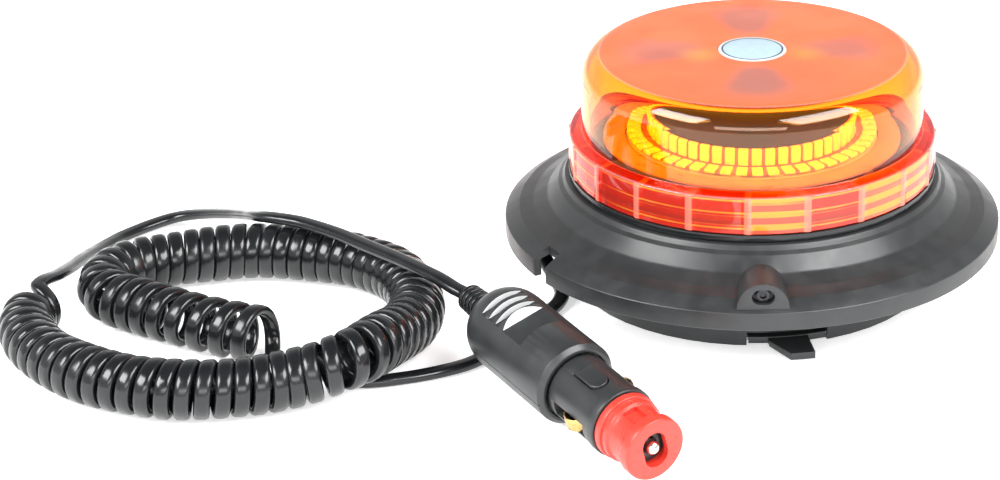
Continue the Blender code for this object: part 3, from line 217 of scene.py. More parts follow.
def top_tint(made, across, depth, angle):
    """Salmon top with four purple-grey clouds, and a painted yellow glow on each side of the label."""
    depth_squared = made.maths("MULTIPLY", depth, depth)
    radius = made.maths("SQRT", made.maths("MULTIPLY_ADD", across, across, depth_squared))
    ring_start = made.spread(radius, 0.010, 0.022)
    ring_end = made.spread(radius, 0.030, 0.046, 1.0, 0.0)
    ring = made.maths("MULTIPLY", ring_start, ring_end)
    lobe = made.maths("MULTIPLY", made.maths("COSINE", made.maths("MULTIPLY", angle, 4.0)), ring)
    cloud = made.maths("MULTIPLY_ADD", made.noise(45.0, 2.0), 0.8, lobe)
    patch = made.mix(made.spread(cloud, 0.35, 1.25), (0.95, 0.25, 0.10), (0.56, 0.23, 0.19))
    # The yellow spots beside the label are painted glow: light seen through the hazy top, put into its
    # colour.
    aside = made.maths("SUBTRACT", made.maths("ABSOLUTE", across), 0.0165)
    behind = made.maths("ADD", depth, 0.004)
    behind_squared = made.maths("MULTIPLY", behind, behind)
    spot = made.maths("SQRT", made.maths("MULTIPLY_ADD", aside, aside, behind_squared))
    return made.mix(made.spread(spot, 0.0, 0.009, 0.55, 0.0), patch, (1.0, 0.52, 0.08))


def skirt_tint(made, height, angle):
    """Red and amber bands, differing from panel to panel, painted as the inner threads refracted through
    the skirt, with paler ribs painted as highlights.
    """
    cells_per_turn = RIB_COUNT / (2.0 * math.pi)
    cell = made.maths("MULTIPLY_ADD", angle, cells_per_turn, -RIB_PHASE * cells_per_turn)
    panel = made.node("ShaderNodeTexWhiteNoise", noise_dimensions="1D")
    made.link(made.maths("FLOOR", cell), panel.inputs["W"])
    shade = panel.outputs["Value"]
    place = made.maths("FRACT", cell)
    edge = made.maths("MINIMUM", place, made.maths("SUBTRACT", 1.0, place))
    # Paler ribs: painted highlights along each rib.
    rib_highlight = made.spread(edge, 0.045, 0.075, 1.0, 0.0)
    # Bands: painted refraction of the inner threads seen through the skirt.
    wave = made.maths("SINE", made.maths("MULTIPLY", height, 2.0 * math.pi / BAND_PITCH))
    ripple = made.maths("SINE", made.maths("MULTIPLY", height, 2.0 * math.pi / RIPPLE_PITCH))
    mixed = made.maths("MULTIPLY_ADD", ripple, 0.45, wave)
    drift = made.maths("MULTIPLY_ADD", made.noise(60.0, 2.0, (1.0, 1.0, 0.2)), 1.6, mixed)
    lit = made.maths("MULTIPLY_ADD", shade, 1.4, drift)
    red = made.mix(shade, (0.50, 0.025, 0.015), (0.95, 0.20, 0.11))
    banded = made.mix(made.spread(lit, 1.5, 2.5), red, (1.0, 0.46, 0.05))
    return made.mix(made.maths("MULTIPLY", rib_highlight, 0.75), banded, (1.0, 0.36, 0.26))


def pass_shadow_rays(made):
    """Lets light through to what the lens covers, instead of a black shadow."""
    clear = made.node("ShaderNodeBsdfTransparent")
    clear.inputs["Color"].default_value = (1.0, 0.84, 0.40, 1.0)
    path = made.node("ShaderNodeLightPath")
    blend = made.node("ShaderNodeMixShader")
    made.link(path.outputs["Is Shadow Ray"], blend.inputs["Fac"])
    made.link(made.principled.outputs["BSDF"], blend.inputs[1])
    made.link(clear.outputs["BSDF"], blend.inputs[2])
    made.link(blend.outputs["Shader"], made.output.inputs["Surface"])


def lens_material():
    """Amber plastic: clear walls that deepen in colour with thickness, a hazy top, a banded skirt."""
    made = Shader("amber_lens", (1.0, 0.93, 0.86), 0.02)
    made.set("IOR", 1.49)
    split = made.node("ShaderNodeSeparateXYZ")
    made.link(made.point, split.inputs[0])
    across = split.outputs["X"]
    depth = split.outputs["Y"]
    height = split.outputs["Z"]
    angle = made.maths("ARCTAN2", depth, across)
    top = made.spread(height, *TOP_FADE)
    skirt = made.spread(height, *SKIRT_FADE, 1.0, 0.0)
    haze = made.spread(made.noise(70.0, 2.0), 0.35, 0.65, 0.34, 0.46)
    made.link(made.maths("MULTIPLY_ADD", top, haze, 0.02), made.principled.inputs["Roughness"])
    tint = made.mix(top, (1.0, 0.94, 0.84), top_tint(made, across, depth, angle))
    colour = made.mix(skirt, tint, skirt_tint(made, height, angle))
    made.link(colour, made.principled.inputs["Base Color"])
    solid_part = made.maths("MULTIPLY_ADD", top, 0.42, made.maths("MULTIPLY", skirt, 0.50))
    clearness = made.maths("SUBTRACT", 1.0, solid_part)
    made.link(clearness, made.principled.inputs["Transmission Weight"])
    made.bump(made.noise(60.0, 2.0), 0.08, 0.00015)
    pass_shadow_rays(made)
    volume = made.node("ShaderNodeVolumeAbsorption")
    volume.inputs["Color"].default_value = (0.99, 0.80, 0.20, 1.0)
    volume.inputs["Density"].default_value = 900.0
    made.link(volume.outputs["Volume"], made.output.inputs["Volume"])
    return made.material


def optic_material():
    """Yellow moulded light guide with a painted glow: a weak emission stands in for the bright highlights
    on its facets.
    """
    made = Shader("yellow_optic", (1.0, 0.86, 0.08), 0.18)
    tone = made.vary(500.0, 0.12, 0.05)
    # Painted glow: the emission makes the light guide shine, though no lamp is in it.
    made.link(tone, made.principled.inputs["Emission Color"])
    made.set("Emission Strength", 0.45)
    made.bump(made.noise(900.0, 2.0), 0.2, 0.00005)
    return made.material


def reflector_material():
    """Metallised film on the disc round the optics, faintly dimpled."""
    made = Shader("reflector_film", (0.80, 0.44, 0.14), 0.32, metallic=0.25)
    made.vary(160.0, 0.08, 0.05)
    made.bump(made.noise(450.0, 2.0), 0.15, 0.00005)
    return made.material


def label_material():
    """Printed film: a pale blue field inside a dark ring and a light border."""
    made = Shader("label_film", (0.72, 0.80, 0.86), 0.35)
    split = made.node("ShaderNodeSeparateXYZ")
    made.link(made.point, split.inputs[0])
    x_squared = made.maths("MULTIPLY", split.outputs["X"], split.outputs["X"])
    y_squared = made.maths("MULTIPLY", split.outputs["Y"], split.outputs["Y"])
    radius = made.maths("SQRT", made.maths("ADD", x_squared, y_squared))
    cloud = made.mix(made.noise(350.0, 2.0), (0.30, 0.42, 0.50), (0.40, 0.52, 0.60))
    inner = made.spread(radius, 0.00900, 0.00910)
    outer = made.spread(radius, 0.00955, 0.00965)
    ringed = made.mix(inner, cloud, (0.03, 0.05, 0.10))
    bordered = made.mix(outer, ringed, (0.50, 0.52, 0.52))
    made.link(bordered, made.principled.inputs["Base Color"])
    made.bump(made.noise(1500.0, 2.0), 0.1, 0.00001)
    return made.material


def glass_material():
    made = Shader("fuse_glass", (0.97, 0.99, 0.98), 0.02)
    made.set("Transmission Weight", 1.0)
    made.set("IOR", 1.5)
    made.bump(made.noise(300.0, 2.0), 0.05, 0.00005)
    return made.material


def backdrop_material():
    """Plain white studio floor, lifted a little so that it stays white."""
    made = Shader("studio_floor", (0.92, 0.92, 0.92), 0.9)
    made.vary(2.0, 0.01, 0.02)
    made.set("Specular IOR Level", 0.1)
    made.set("Emission Color", (1.0, 1.0, 1.0, 1.0))
    made.set("Emission Strength", 0.55)
    return made.material


FINISH = {
    "black_plastic": moulded("black_plastic", (0.020, 0.022, 0.023), 0.36),
    "black_rubber": moulded("black_rubber", (0.008, 0.009, 0.010), 0.20, 700.0, 0.00002),
    "amber_lens": lens_material(),
    "yellow_optic": optic_material(),
    "reflector_film": reflector_material(),
    "steel": plated("steel", (0.60, 0.61, 0.62), 0.34),
    "nickel": plated("nickel", (0.74, 0.72, 0.68), 0.20),
    "brass": plated("brass", (0.62, 0.40, 0.15), 0.30),
    "aluminium": plated("aluminium", (0.78, 0.79, 0.80), 0.42),
    "red_plastic": moulded("red_plastic", (0.72, 0.040, 0.025), 0.28, 1800.0, 0.00001, 0.06),
    "circuit_board": moulded("circuit_board", (0.03, 0.20, 0.07), 0.40, 900.0, 0.00002),
    "white_board": moulded("white_board", (0.82, 0.82, 0.80), 0.45, 900.0, 0.00002, 0.05),
    "capacitor_sleeve": moulded("capacitor_sleeve", (0.05, 0.07, 0.16), 0.35),
    "ferrite": moulded("ferrite", (0.07, 0.07, 0.075), 0.70, 800.0, 0.00008),
    "label_film": label_material(),
    "pale_insert": moulded("pale_insert", (0.50, 0.51, 0.51), 0.45, 900.0, 0.00002, 0.06),
    "fuse_glass": glass_material(),
}


# Painted shade: a dark metal for the locking screws, standing in for the shade in their deep pockets.
SCREW_POCKET_SHADE = plated("screw_pocket_painted_shade", (0.05, 0.05, 0.055), 0.36)
# Painted shade: a darker amber for the light guide's core, standing in for the shade in the gaps between
# its blocks.
OPTIC_GAP_SHADE = moulded("optic_gap_painted_shade", (0.55, 0.17, 0.012), 0.30, 900.0, 0.00002)


def dress_cad_nodes():
    """Gives every CAD node the finish that its material slot names."""
    for cad in frame["nodes"].values():
        for place in cad.material_slots:
            name = place.material.name.split(".")[0] if place.material else "black_plastic"
            place.material = FINISH.get(name, FINISH["black_plastic"])


# ---------------------------------------------------------------- shapes

def piece(name, mesh, body, slot, smooth_angle=35.0):
    """A finished object made from a bmesh, which rides on a CAD body."""
    bmesh.ops.recalc_face_normals(mesh, faces=mesh.faces)
    data = bpy.data.meshes.new(name)
    mesh.to_mesh(data)
    mesh.free()
    made = bpy.data.objects.new(name, data)
    bpy.context.scene.collection.objects.link(made)
    data.materials.append(FINISH[slot])
    data.shade_smooth()
    data.set_sharp_from_angle(angle=math.radians(smooth_angle))
    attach(made, body)
    return made


def lathe(mesh, profile, segments, shape=None):
    """Turns a closed profile of (radius, height) round Z.

    shape may move a point: it takes (radius, height, angle) and gives a radius and a height.
    """
    rings = []
    for step in range(segments):
        angle = 2.0 * math.pi * step / segments
        ring = []
        for radius, height in profile:
            if shape:
                radius, height = shape(radius, height, angle)
            ring.append(mesh.verts.new((radius * math.cos(angle), radius * math.sin(angle), height)))
        rings.append(ring)
    count = len(profile)
    for step in range(segments):
        here = rings[step]
        there = rings[(step + 1) % segments]
        for i in range(count):
            j = (i + 1) % count
            mesh.faces.new((here[i], there[i], there[j], here[j]))


def rounded(points, steps=5):
    """A closed profile whose corners (radius, height, fillet) are rounded."""
    made = []
    count = len(points)
    for i in range(count):
        before = Vector(points[i - 1][:2])
        corner = Vector(points[i][:2])
        after = Vector(points[(i + 1) % count][:2])
        fillet = points[i][2] if len(points[i]) > 2 else 0.0
        if fillet <= 0.0:
            made.append((corner.x, corner.y))
            continue
        to_before = (before - corner).normalized()
        to_after = (after - corner).normalized()
        half = 0.5 * to_before.angle(to_after)
        reach = fillet / math.tan(half)
        centre = corner + (to_before + to_after).normalized() * (fillet / math.sin(half))
        start = corner + to_before * reach - centre
        end = corner + to_after * reach - centre
        turn = start.angle_signed(end)
        for step in range(steps + 1):
            c = math.cos(-turn * step / steps)
            s = math.sin(-turn * step / steps)
            made.append((centre.x + start.x * c - start.y * s, centre.y + start.x * s + start.y * c))
    return made


# ---------------------------------------------------------------- cord

CORD_WIDE = 4.9
CORD_THICK = 3.3
HELIX_RADIUS = 7.35
TURN_PITCH = 5.0
CORD_SIDES = 18
CORD_CORNER = 0.80            # below 1, the section is squarer than an ellipse
GROOVE_DEPTH = 0.20           # share of the half thickness, between the two cores
GROOVE_REACH = 0.55
RINGS_PER_TURN = 26
ROUTE_STEP = 0.25
LEAD_STEP = 1.2
BEND_LIMIT = 0.045            # the tightest bend of the coil's middle line, in radians per mm
BEND_SHARE = 0.45             # how much of a bend's spread the pitch takes up
LOOSE_AMOUNT = 0.55           # the turns near the beacon are pulled open
LOOSE_PLACE = 24.0
LOOSE_REACH = 22.0
RAMP_LENGTH = 9.0             # the winding starts and ends over this length
RAMP_STEP = 0.8
LEAST_GAP = 0.06

LEAD_FROM_BEACON = [
    (-58.0, 10.2, 14.0), (-62.0, 9.6, 13.7), (-65.5, 7.6, 12.9), (-67.2, 3.6, 11.6), (-67.0, -2.2, 9.6),
    (-65.0, -8.6, 7.0), (-62.0, -15.2, 4.4), (-60.0, -21.2, 2.5), (-60.9, -27.2, 1.8), (-64.0, -34.2, 1.75),
    (-69.5, -43.6, 1.75), (-75.0, -53.0, 1.75), (-80.2, -61.4, 1.75), (-85.6, -67.9, 1.75),
    (-90.0, -71.5, 1.75), (-95.8, -74.7, 1.75), (-101.6, -77.2, 1.75), (-107.5, -79.1, 1.75),
    (-113.3, -80.6, 1.75), (-119.0, -81.0, 1.75), (-124.8, -79.4, 1.75), (-130.4, -75.8, 1.75),
]
COIL_ROUTE = [
    (-221.0, -41.6, 9.1), (-222.8, -48.8, 9.1), (-222.4, -58.0, 9.1), (-217.8, -69.4, 9.1),
    (-208.6, -81.2, 9.1), (-195.2, -91.2, 9.1), (-179.2, -97.8, 9.1), (-164.0, -99.6, 9.1),
    (-149.6, -97.6, 9.1), (-139.4, -94.6, 9.6), (-131.4, -93.0, 11.0), (-125.9, -92.2, 12.8),
    (-120.7, -89.4, 13.7), (-116.4, -84.2, 13.8), (-112.4, -76.2, 12.9), (-108.4, -66.0, 10.6),
    (-105.4, -56.0, 9.2), (-104.2, -45.6, 9.1), (-106.6, -33.2, 9.1), (-113.6, -20.0, 9.1),
    (-127.7, -9.4, 9.1), (-144.2, -4.2, 9.1), (-160.5, -2.4, 9.1), (-176.1, -5.6, 9.1),
    (-188.6, -9.8, 9.1), (-197.4, -14.6, 9.1), (-202.6, -22.0, 9.1), (-203.0, -30.4, 9.1),
    (-198.2, -37.4, 9.1), (-190.0, -42.9, 9.1), (-181.6, -48.2, 9.1), (-173.2, -53.2, 9.1),
    (-165.0, -57.6, 9.1), (-155.2, -62.0, 9.1), (-145.0, -65.6, 9.1),
]
LEAD_TO_PLUG = [
    (-217.6, -29.6, 13.8), (-215.9, -17.9, 10.9), (-214.7, -7.3, 8.5), (-213.4, 2.9, 6.1),
    (-211.7, 11.2, 4.2), (-209.5, 18.3, 3.0), (-206.3, 25.4, 2.2), (-198.6, 34.0, 2.2),
    (-189.9, 38.0, 3.4), (-179.9, 33.8, 6.3), (-168.9, 22.0, 11.4), (-162.6, 11.8, 15.4),
    (-156.7, 1.0, 19.6), (-150.0, -3.2, 20.6), (-143.4, -6.0, 20.6), (-136.6, -10.6, 20.6),
    (-129.8, -16.0, 20.6), (-122.9, -22.7, 20.6), (-116.2, -29.0, 20.6), (-109.5, -35.6, 20.7),
    (-102.9, -42.7, 20.7), (-96.5, -49.0, 20.2), (-91.9, -53.5, 19.2), (-88.8, -55.9, 18.5),
]

PLUG_START = Vector((-87.1, -57.8, 18.2)) * MM
PLUG_X = Vector((0.555537, -0.826726, -0.088894))
PLUG_Y = Vector((0.811525, 0.515802, 0.274546))
PLUG_Z = Vector((-0.181123, -0.224661, 0.957456))
UP = np.array((0.0, 0.0, 1.0))


def unit(v):
    return v / np.linalg.norm(v)


def spline(points, start_way=None, end_way=None, step=0.5):
    """Points every step mm along a smooth curve through the given points."""
    p = np.array(points, float)
    ways = np.zeros_like(p)
    ways[1:-1] = (p[2:] - p[:-2]) / 2.0
    ways[0] = p[1] - p[0]
    ways[-1] = p[-1] - p[-2]
    if start_way is not None:
        ways[0] = unit(np.array(start_way)) * np.linalg.norm(p[1] - p[0])
    if end_way is not None:
        ways[-1] = unit(np.array(end_way)) * np.linalg.norm(p[-1] - p[-2])
    made = []
    for i in range(len(p) - 1):
        count = max(4, int(np.linalg.norm(p[i + 1] - p[i]) / 0.1))
        for k in range(count):
            t = k / count
            made.append(
                (2 * t**3 - 3 * t**2 + 1) * p[i]
                + (t**3 - 2 * t**2 + t) * ways[i]
                + (-2 * t**3 + 3 * t**2) * p[i + 1]
                + (t**3 - t**2) * ways[i + 1]
            )
    made.append(p[-1])
    return resample(np.array(made), step)


def resample(points, step):
    """The same curve with its points an even step apart."""
    gaps = np.linalg.norm(np.diff(points, axis=0), axis=1)
    along = np.concatenate(([0.0], np.cumsum(gaps)))
    count = max(2, int(round(along[-1] / step)) + 1)
    wanted = np.linspace(0.0, along[-1], count)
    return np.stack([np.interp(wanted, along, points[:, k]) for k in range(3)], axis=1)


def smooth(values, passes):
    """Evens out a row of values, keeping its two ends."""
    for _ in range(passes):
        values[1:-1] = 0.25 * values[:-2] + 0.5 * values[1:-1] + 0.25 * values[2:]
    return values


def coil_path():
    """The wound part of the cord, from the beacon's end to the plug's, and which way is out of the coil."""
    centre = smooth(spline(COIL_ROUTE[::-1], step=ROUTE_STEP), 60)
    ways = np.gradient(centre, axis=0)
    ways /= np.linalg.norm(ways, axis=1)[:, None]
    side = np.cross(ways, UP)
    side /= np.linalg.norm(side, axis=1)[:, None]
    up = np.cross(side, ways)
    step = np.linalg.norm(np.diff(centre, axis=0), axis=1).mean()
    bend = np.linalg.norm(np.gradient(ways, axis=0), axis=1) / step
    bend = smooth(np.minimum(bend, BEND_LIMIT), 40)
    total = step * (len(centre) - 1)
    along = np.arange(len(centre)) * step
    pitch = TURN_PITCH / (1.0 - HELIX_RADIUS * bend * BEND_SHARE)
    pitch *= 1.0 + LOOSE_AMOUNT * np.exp(-((along - LOOSE_PLACE) / LOOSE_REACH) ** 2)
    ramp_in = np.clip(along / RAMP_LENGTH, 0.0, 1.0)
    ramp_out = np.clip((total - along) / RAMP_LENGTH, 0.0, 1.0)
    rate = (ramp_in**2 * (3 - 2 * ramp_in)) * (ramp_out**2 * (3 - 2 * ramp_out)) / pitch
    turned = np.concatenate(([0.0], np.cumsum(0.5 * (rate[1:] + rate[:-1]) * step)))
    turns = round(turned[-1] - 0.5) + 0.5
    angle = -0.5 * math.pi + 2.0 * math.pi * turned * turns / turned[-1]
    wanted = np.linspace(0.0, angle[-1] - angle[0], int(turns * RINGS_PER_TURN)) + angle[0]
    on_turns = np.interp(wanted, angle, along)
    on_ramp = np.arange(0.0, RAMP_LENGTH, RAMP_STEP)
    rings_at = np.unique(np.concatenate((on_turns, on_ramp, total - on_ramp)))
    rings_at = rings_at[np.concatenate(([True], np.diff(rings_at) > LEAST_GAP))]

    def at_rings(vectors):
        return np.stack([np.interp(rings_at, along, vectors[:, k]) for k in range(3)], axis=1)

    place = at_rings(centre)
    side_here = at_rings(side)
    up_here = at_rings(up)
    turn_here = np.interp(rings_at, along, angle)
    wobble = 0.12 * np.sin(turn_here * 0.171 + 1.0) + 0.10 * np.sin(turn_here * 0.057)
    out = np.cos(turn_here)[:, None] * side_here + np.sin(turn_here)[:, None] * up_here
    return place + out * (HELIX_RADIUS + wobble)[:, None], out


def make_cord():
    """One flat twin cord from the beacon through the curly part to the plug."""
    wound, out = coil_path()
    first_way = wound[1] - wound[0]
    last_way = wound[-1] - wound[-2]
    lead_in = spline(LEAD_FROM_BEACON + [tuple(wound[0])], (-1.0, 0.17, -0.02), first_way, LEAD_STEP)
    lead_out = spline([tuple(wound[-1])] + LEAD_TO_PLUG, last_way, tuple(PLUG_X), LEAD_STEP)
    path = np.concatenate((lead_in[:-1], wound, lead_out[1:]))
    flat = np.concatenate(
        (np.tile(-UP, (len(lead_in) - 1, 1)), out, np.tile(UP, (len(lead_out) - 1, 1)))
    )
    ways = np.gradient(path, axis=0)
    ways /= np.linalg.norm(ways, axis=1)[:, None]
    thin = flat - np.sum(flat * ways, axis=1)[:, None] * ways
    thin /= np.linalg.norm(thin, axis=1)[:, None]
    wide = np.cross(ways, thin)
    mesh = bmesh.new()
    rings = []
    half_wide = 0.5 * CORD_WIDE
    half_thick = 0.5 * CORD_THICK
    for place, across, upward in zip(path, wide, thin):
        ring = []
        for side in range(CORD_SIDES):
            angle = 2.0 * math.pi * side / CORD_SIDES
            c = math.cos(angle)
            s = math.sin(angle)
            x = half_wide * math.copysign(abs(c) ** CORD_CORNER, c)
            dent = 1.0 - GROOVE_DEPTH * math.exp(-((x / GROOVE_REACH) ** 2))
            y = half_thick * math.copysign(abs(s) ** CORD_CORNER, s) * dent
            ring.append(mesh.verts.new((place + across * x + upward * y) * MM))
        rings.append(ring)
    for here, there in zip(rings[:-1], rings[1:]):
        for i in range(CORD_SIDES):
            j = (i + 1) % CORD_SIDES
            mesh.faces.new((here[i], here[j], there[j], there[i]))
    mesh.faces.new(rings[0][::-1])
    mesh.faces.new(rings[-1])
    cord = piece("curly_cord", mesh, "beacon", "black_rubber", 60.0)
    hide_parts("cord_lead_beacon", "cord_coil", "cord_lead_plug")


# ---------------------------------------------------------------- solids with cuts

def solid(name, mesh):
    """A plain object from a bmesh, ready for cutting."""
    bmesh.ops.remove_doubles(mesh, verts=mesh.verts, dist=1e-7)
    bmesh.ops.recalc_face_normals(mesh, faces=mesh.faces)
    data = bpy.data.meshes.new(name)
    mesh.to_mesh(data)
    mesh.free()
    made = bpy.data.objects.new(name, data)
    bpy.context.scene.collection.objects.link(made)
    return made


def turned(name, profile, segments):
    """A solid turned round Z from a closed profile of (radius, height, fillet) in mm."""
    mesh = bmesh.new()
    lathe(mesh, [(r * MM, z * MM) for r, z in rounded(profile, 4)], segments)
    return solid(name, mesh)


def prism(name, outline, low, high, matrix):
    """A closed outline in the local X and Y, in mm, raised from low to high along the local Z."""
    mesh = bmesh.new()
    bottom = [mesh.verts.new(matrix @ Vector((x * MM, y * MM, low * MM))) for x, y in outline]
    top = [mesh.verts.new(matrix @ Vector((x * MM, y * MM, high * MM))) for x, y in outline]
    mesh.faces.new(bottom[::-1])
    mesh.faces.new(top)
    count = len(outline)
    for i in range(count):
        j = (i + 1) % count
        mesh.faces.new((bottom[i], bottom[j], top[j], top[i]))
    return solid(name, mesh)


def arc(centre_x, centre_y, radius, start, end, steps):
    """Points along an arc from start to end, in degrees."""
    made = []
    for i in range(steps + 1):
        turn = math.radians(start + (end - start) * i / steps)
        made.append((centre_x + radius * math.cos(turn), centre_y + radius * math.sin(turn)))
    return made


def boolean(target, tool, operation="DIFFERENCE"):
    """Cuts the tool from the target, or joins it on, and drops the tool."""
    change = target.modifiers.new("cut", "BOOLEAN")
    change.operation = operation
    change.solver = "EXACT"
    change.object = tool
    depsgraph = bpy.context.evaluated_depsgraph_get()
    result = bpy.data.meshes.new_from_object(target.evaluated_get(depsgraph))
    target.modifiers.clear()
    target.data = result
    bpy.data.objects.remove(tool)


def soften(target, width, angle=35.0, segments=2):
    """A small round on every sharp edge."""
    change = target.modifiers.new("round", "BEVEL")
    change.width = width * MM
    change.segments = segments
    change.limit_method = "ANGLE"
    change.angle_limit = math.radians(angle)
    change.use_clamp_overlap = True
    change.miter_outer = "MITER_ARC"
    depsgraph = bpy.context.evaluated_depsgraph_get()
    result = bpy.data.meshes.new_from_object(target.evaluated_get(depsgraph))
    target.modifiers.clear()
    target.data = result


def finished(made, body, slot, *nodes, smooth_angle=32.0):
    """Dresses a solid, lets it ride on a body, and puts it in place of the CAD nodes."""
    data = made.data
    data.materials.clear()
    data.materials.append(FINISH[slot])
    data.shade_smooth()
    data.set_sharp_from_angle(angle=math.radians(smooth_angle))
    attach(made, body)
    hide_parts(*nodes)
    return made


def refined(node, width=0.25, smooth_angle=32.0):
    """A softened copy of a CAD node, with its edges rounded and its curves shaded smooth."""
    cad = frame["nodes"][node]
    mesh = bmesh.new()
    mesh.from_mesh(cad.data)
    bmesh.ops.remove_doubles(mesh, verts=mesh.verts, dist=2e-6)
    bmesh.ops.dissolve_limit(
        mesh, angle_limit=math.radians(0.4), verts=mesh.verts, edges=mesh.edges, delimit={"NORMAL"}
    )
    slot = cad.material_slots[0].material.name.split(".")[0]
    made = solid(node + "_detail", mesh)
    if width:
        soften(made, width, 40.0)
    return finished(made, cad["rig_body"], slot, node, smooth_angle=smooth_angle)


# ---------------------------------------------------------------- base and drum

NOTCH_AZIMUTH = -148.2
NOTCH_HALF = 3.3
NOTCH_DEPTH = 5.5
BOSS_AZIMUTHS = (-90.0, 90.0)
BOSS_INSET = 1.1
BOSS_LENGTH = 14.9
BOSS_RADIUS = 7.7
BOSS_AXIS = 22.8
BOSS_FLOOR = 22.3
LOCK_AXIS = 26.2
POCKET_RADIUS = 2.35
POCKET_HALF = 1.05            # half the straight run of the pocket's outline
POCKET_DEPTH = 3.6
LOCK_HOLE_RADIUS = 1.7
LOCK_HOLE_START = 55.0
CUT_SPARE = 2.0               # how far a cutter runs past the face that it cuts


def outward(azimuth, height):
    """A frame whose Z points out along an azimuth, with X sideways and Y up from a height in mm."""
    turn = math.radians(azimuth)
    out = Vector((math.cos(turn), math.sin(turn), 0.0))
    up = Vector((0.0, 0.0, 1.0))
    made = Matrix((up.cross(out), up, out)).transposed().to_4x4()
    made.translation = up * height * MM
    return made


def make_base():
    """The wide black brim with its stepped collar, two screw bosses and the cord notch."""
    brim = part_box("base_housing")[1].x / MM
    outline = [
        (12.0, 34.9), (52.1, 34.9), (52.1, 43.0, 0.3), (54.3, 43.0, 0.3), (54.3, 34.9),
        (58.8, 34.9, 0.5), (59.6, 33.4, 0.4), (60.9, 32.5, 0.7), (64.5, 28.1, 3.0),
        (69.0, 25.7, 5.0), (73.4, 24.4, 1.2),
        (brim, 21.4, 0.6), (brim, 15.8, 0.4), (brim - 2.4, 15.8, 0.3), (brim - 2.4, 21.2, 0.4),
        (71.1, 22.3, 0.8), (67.9, 23.8, 0.8), (62.6, 26.8, 0.8), (58.4, 30.1, 0.5), (58.4, 24.9, 0.3),
        (56.0, 24.9, 0.3), (56.0, 32.4), (12.0, 32.4),
    ]
    base = turned("base_shell", outline, 240)
    face = brim - BOSS_INSET
    for azimuth in BOSS_AZIMUTHS:
        place = outward(azimuth, 0.0)
        hood = arc(0.0, BOSS_AXIS, BOSS_RADIUS, 0.0, 180.0, 32)
        hood += [(-BOSS_RADIUS, BOSS_FLOOR), (BOSS_RADIUS, BOSS_FLOOR)]
        boolean(base, prism("hood", hood, face - BOSS_LENGTH, face, place), "UNION")
        pocket = arc(POCKET_HALF, LOCK_AXIS, POCKET_RADIUS, -90.0, 90.0, 16)
        pocket += arc(-POCKET_HALF, LOCK_AXIS, POCKET_RADIUS, 90.0, 270.0, 16)
        boolean(base, prism("pocket", pocket, face - POCKET_DEPTH, face + CUT_SPARE, place))
        hole = arc(0.0, LOCK_AXIS, LOCK_HOLE_RADIUS, 0.0, 345.0, 23)
        boolean(base, prism("hole", hole, LOCK_HOLE_START, face, place))
    slot = [(-NOTCH_HALF, 6.0), (NOTCH_HALF, 6.0), (NOTCH_HALF, 32.0), (-NOTCH_HALF, 32.0)]
    notch_place = outward(NOTCH_AZIMUTH, 0.0)
    boolean(base, prism("notch", slot, brim - NOTCH_DEPTH, brim + 2.0 * CUT_SPARE, notch_place))
    soften(base, 0.35, 38.0)
    finished(base, "beacon", "black_plastic", "base_housing")


# ---------------------------------------------------------------- plug

PLUG = Matrix((PLUG_Y, PLUG_Z, PLUG_X)).transposed().to_4x4()
PLUG.translation = PLUG_START
GRIP_START = 12.4
GRIP_SHOULDER = 23.0
GRIP_FRONT = 58.8
GRIP_RADIUS = 12.9
BARREL_RADIUS = 10.15
BARREL_START = 59.1
BARREL_FRONT = 82.0
SCOOPS = ((22.4, 1.9), (26.0, 1.9), (29.6, 1.9), (33.9, 9.4))
SCOOP_FLOOR = 10.7
SCOOP_TOP = 20.0
SCOOP_HALF = 14.0
WIDE_SCOOP = 4.0              # a longer scoop is the flat one
SLOT_LEAN = 0.5               # how far the rear wall leans back over LEAN_HEIGHT
FLAT_LEAN = 2.4
LEAN_HEIGHT = 2.2
GRIP_REAR_RADIUS = 5.0
GRIP_LIP = 1.4
GRIP_BORE_RADIUS = 10.5
GRIP_STEP_RADIUS = 9.5
SEAM_HALF = 0.16
SEAM_DEPTH = 0.4
INLAY_MARGIN = 0.12           # how far an inlay stays inside the grip's surface
BOOT_RIBS = 6
BOOT_RIBBED_LENGTH = 12.1
BOOT_END = 15.2
LATCH_START = 65.2
LATCH_LENGTH = 10.4
LATCH_HALF = 2.8
LATCH_GAP = 0.35
ADAPTER_END = 97.9
PLUG_SEGMENTS = 128


def along_plug(made):
    """Lays a solid that was turned round Z along the plug."""
    made.data.transform(PLUG)
    return made


def cross_plug():
    """A frame across the plug: X runs along it, Y is up, and Z is sideways."""
    made = Matrix((PLUG_X, PLUG_Z, -PLUG_Y)).transposed().to_4x4()
    made.translation = PLUG_START
    return made


def down_plug():
    """A frame on top of the plug: X runs along it, Y is sideways, and Z is up out of it."""
    made = Matrix((PLUG_X, PLUG_Y, PLUG_Z)).transposed().to_4x4()
    made.translation = PLUG_START
    return made


def scoop_lean(length):
    return FLAT_LEAN if length > WIDE_SCOOP else SLOT_LEAN


def make_boot():
    """The ribbed rubber sleeve where the cord goes in."""
    outline = [(0.0, 0.0), (2.9, 0.0, 0.4)]
    pitch = BOOT_RIBBED_LENGTH / BOOT_RIBS
    for i in range(BOOT_RIBS):
        start = i * pitch
        valley = 3.3 + 0.1 * i
        crest = 4.3 + 0.1 * i
        outline += [
            (valley, start + 0.02, 0.1), (crest, start + 0.22, 0.35),
            (crest, start + 1.50, 0.35), (valley, start + 1.68, 0.1),
        ]
    outline += [(3.2, BOOT_RIBBED_LENGTH), (3.2, BOOT_END), (0.0, BOOT_END)]
    boot = along_plug(turned("boot_sleeve", outline, 96))
    finished(boot, "beacon", "black_rubber", "plug_boot", smooth_angle=45.0)


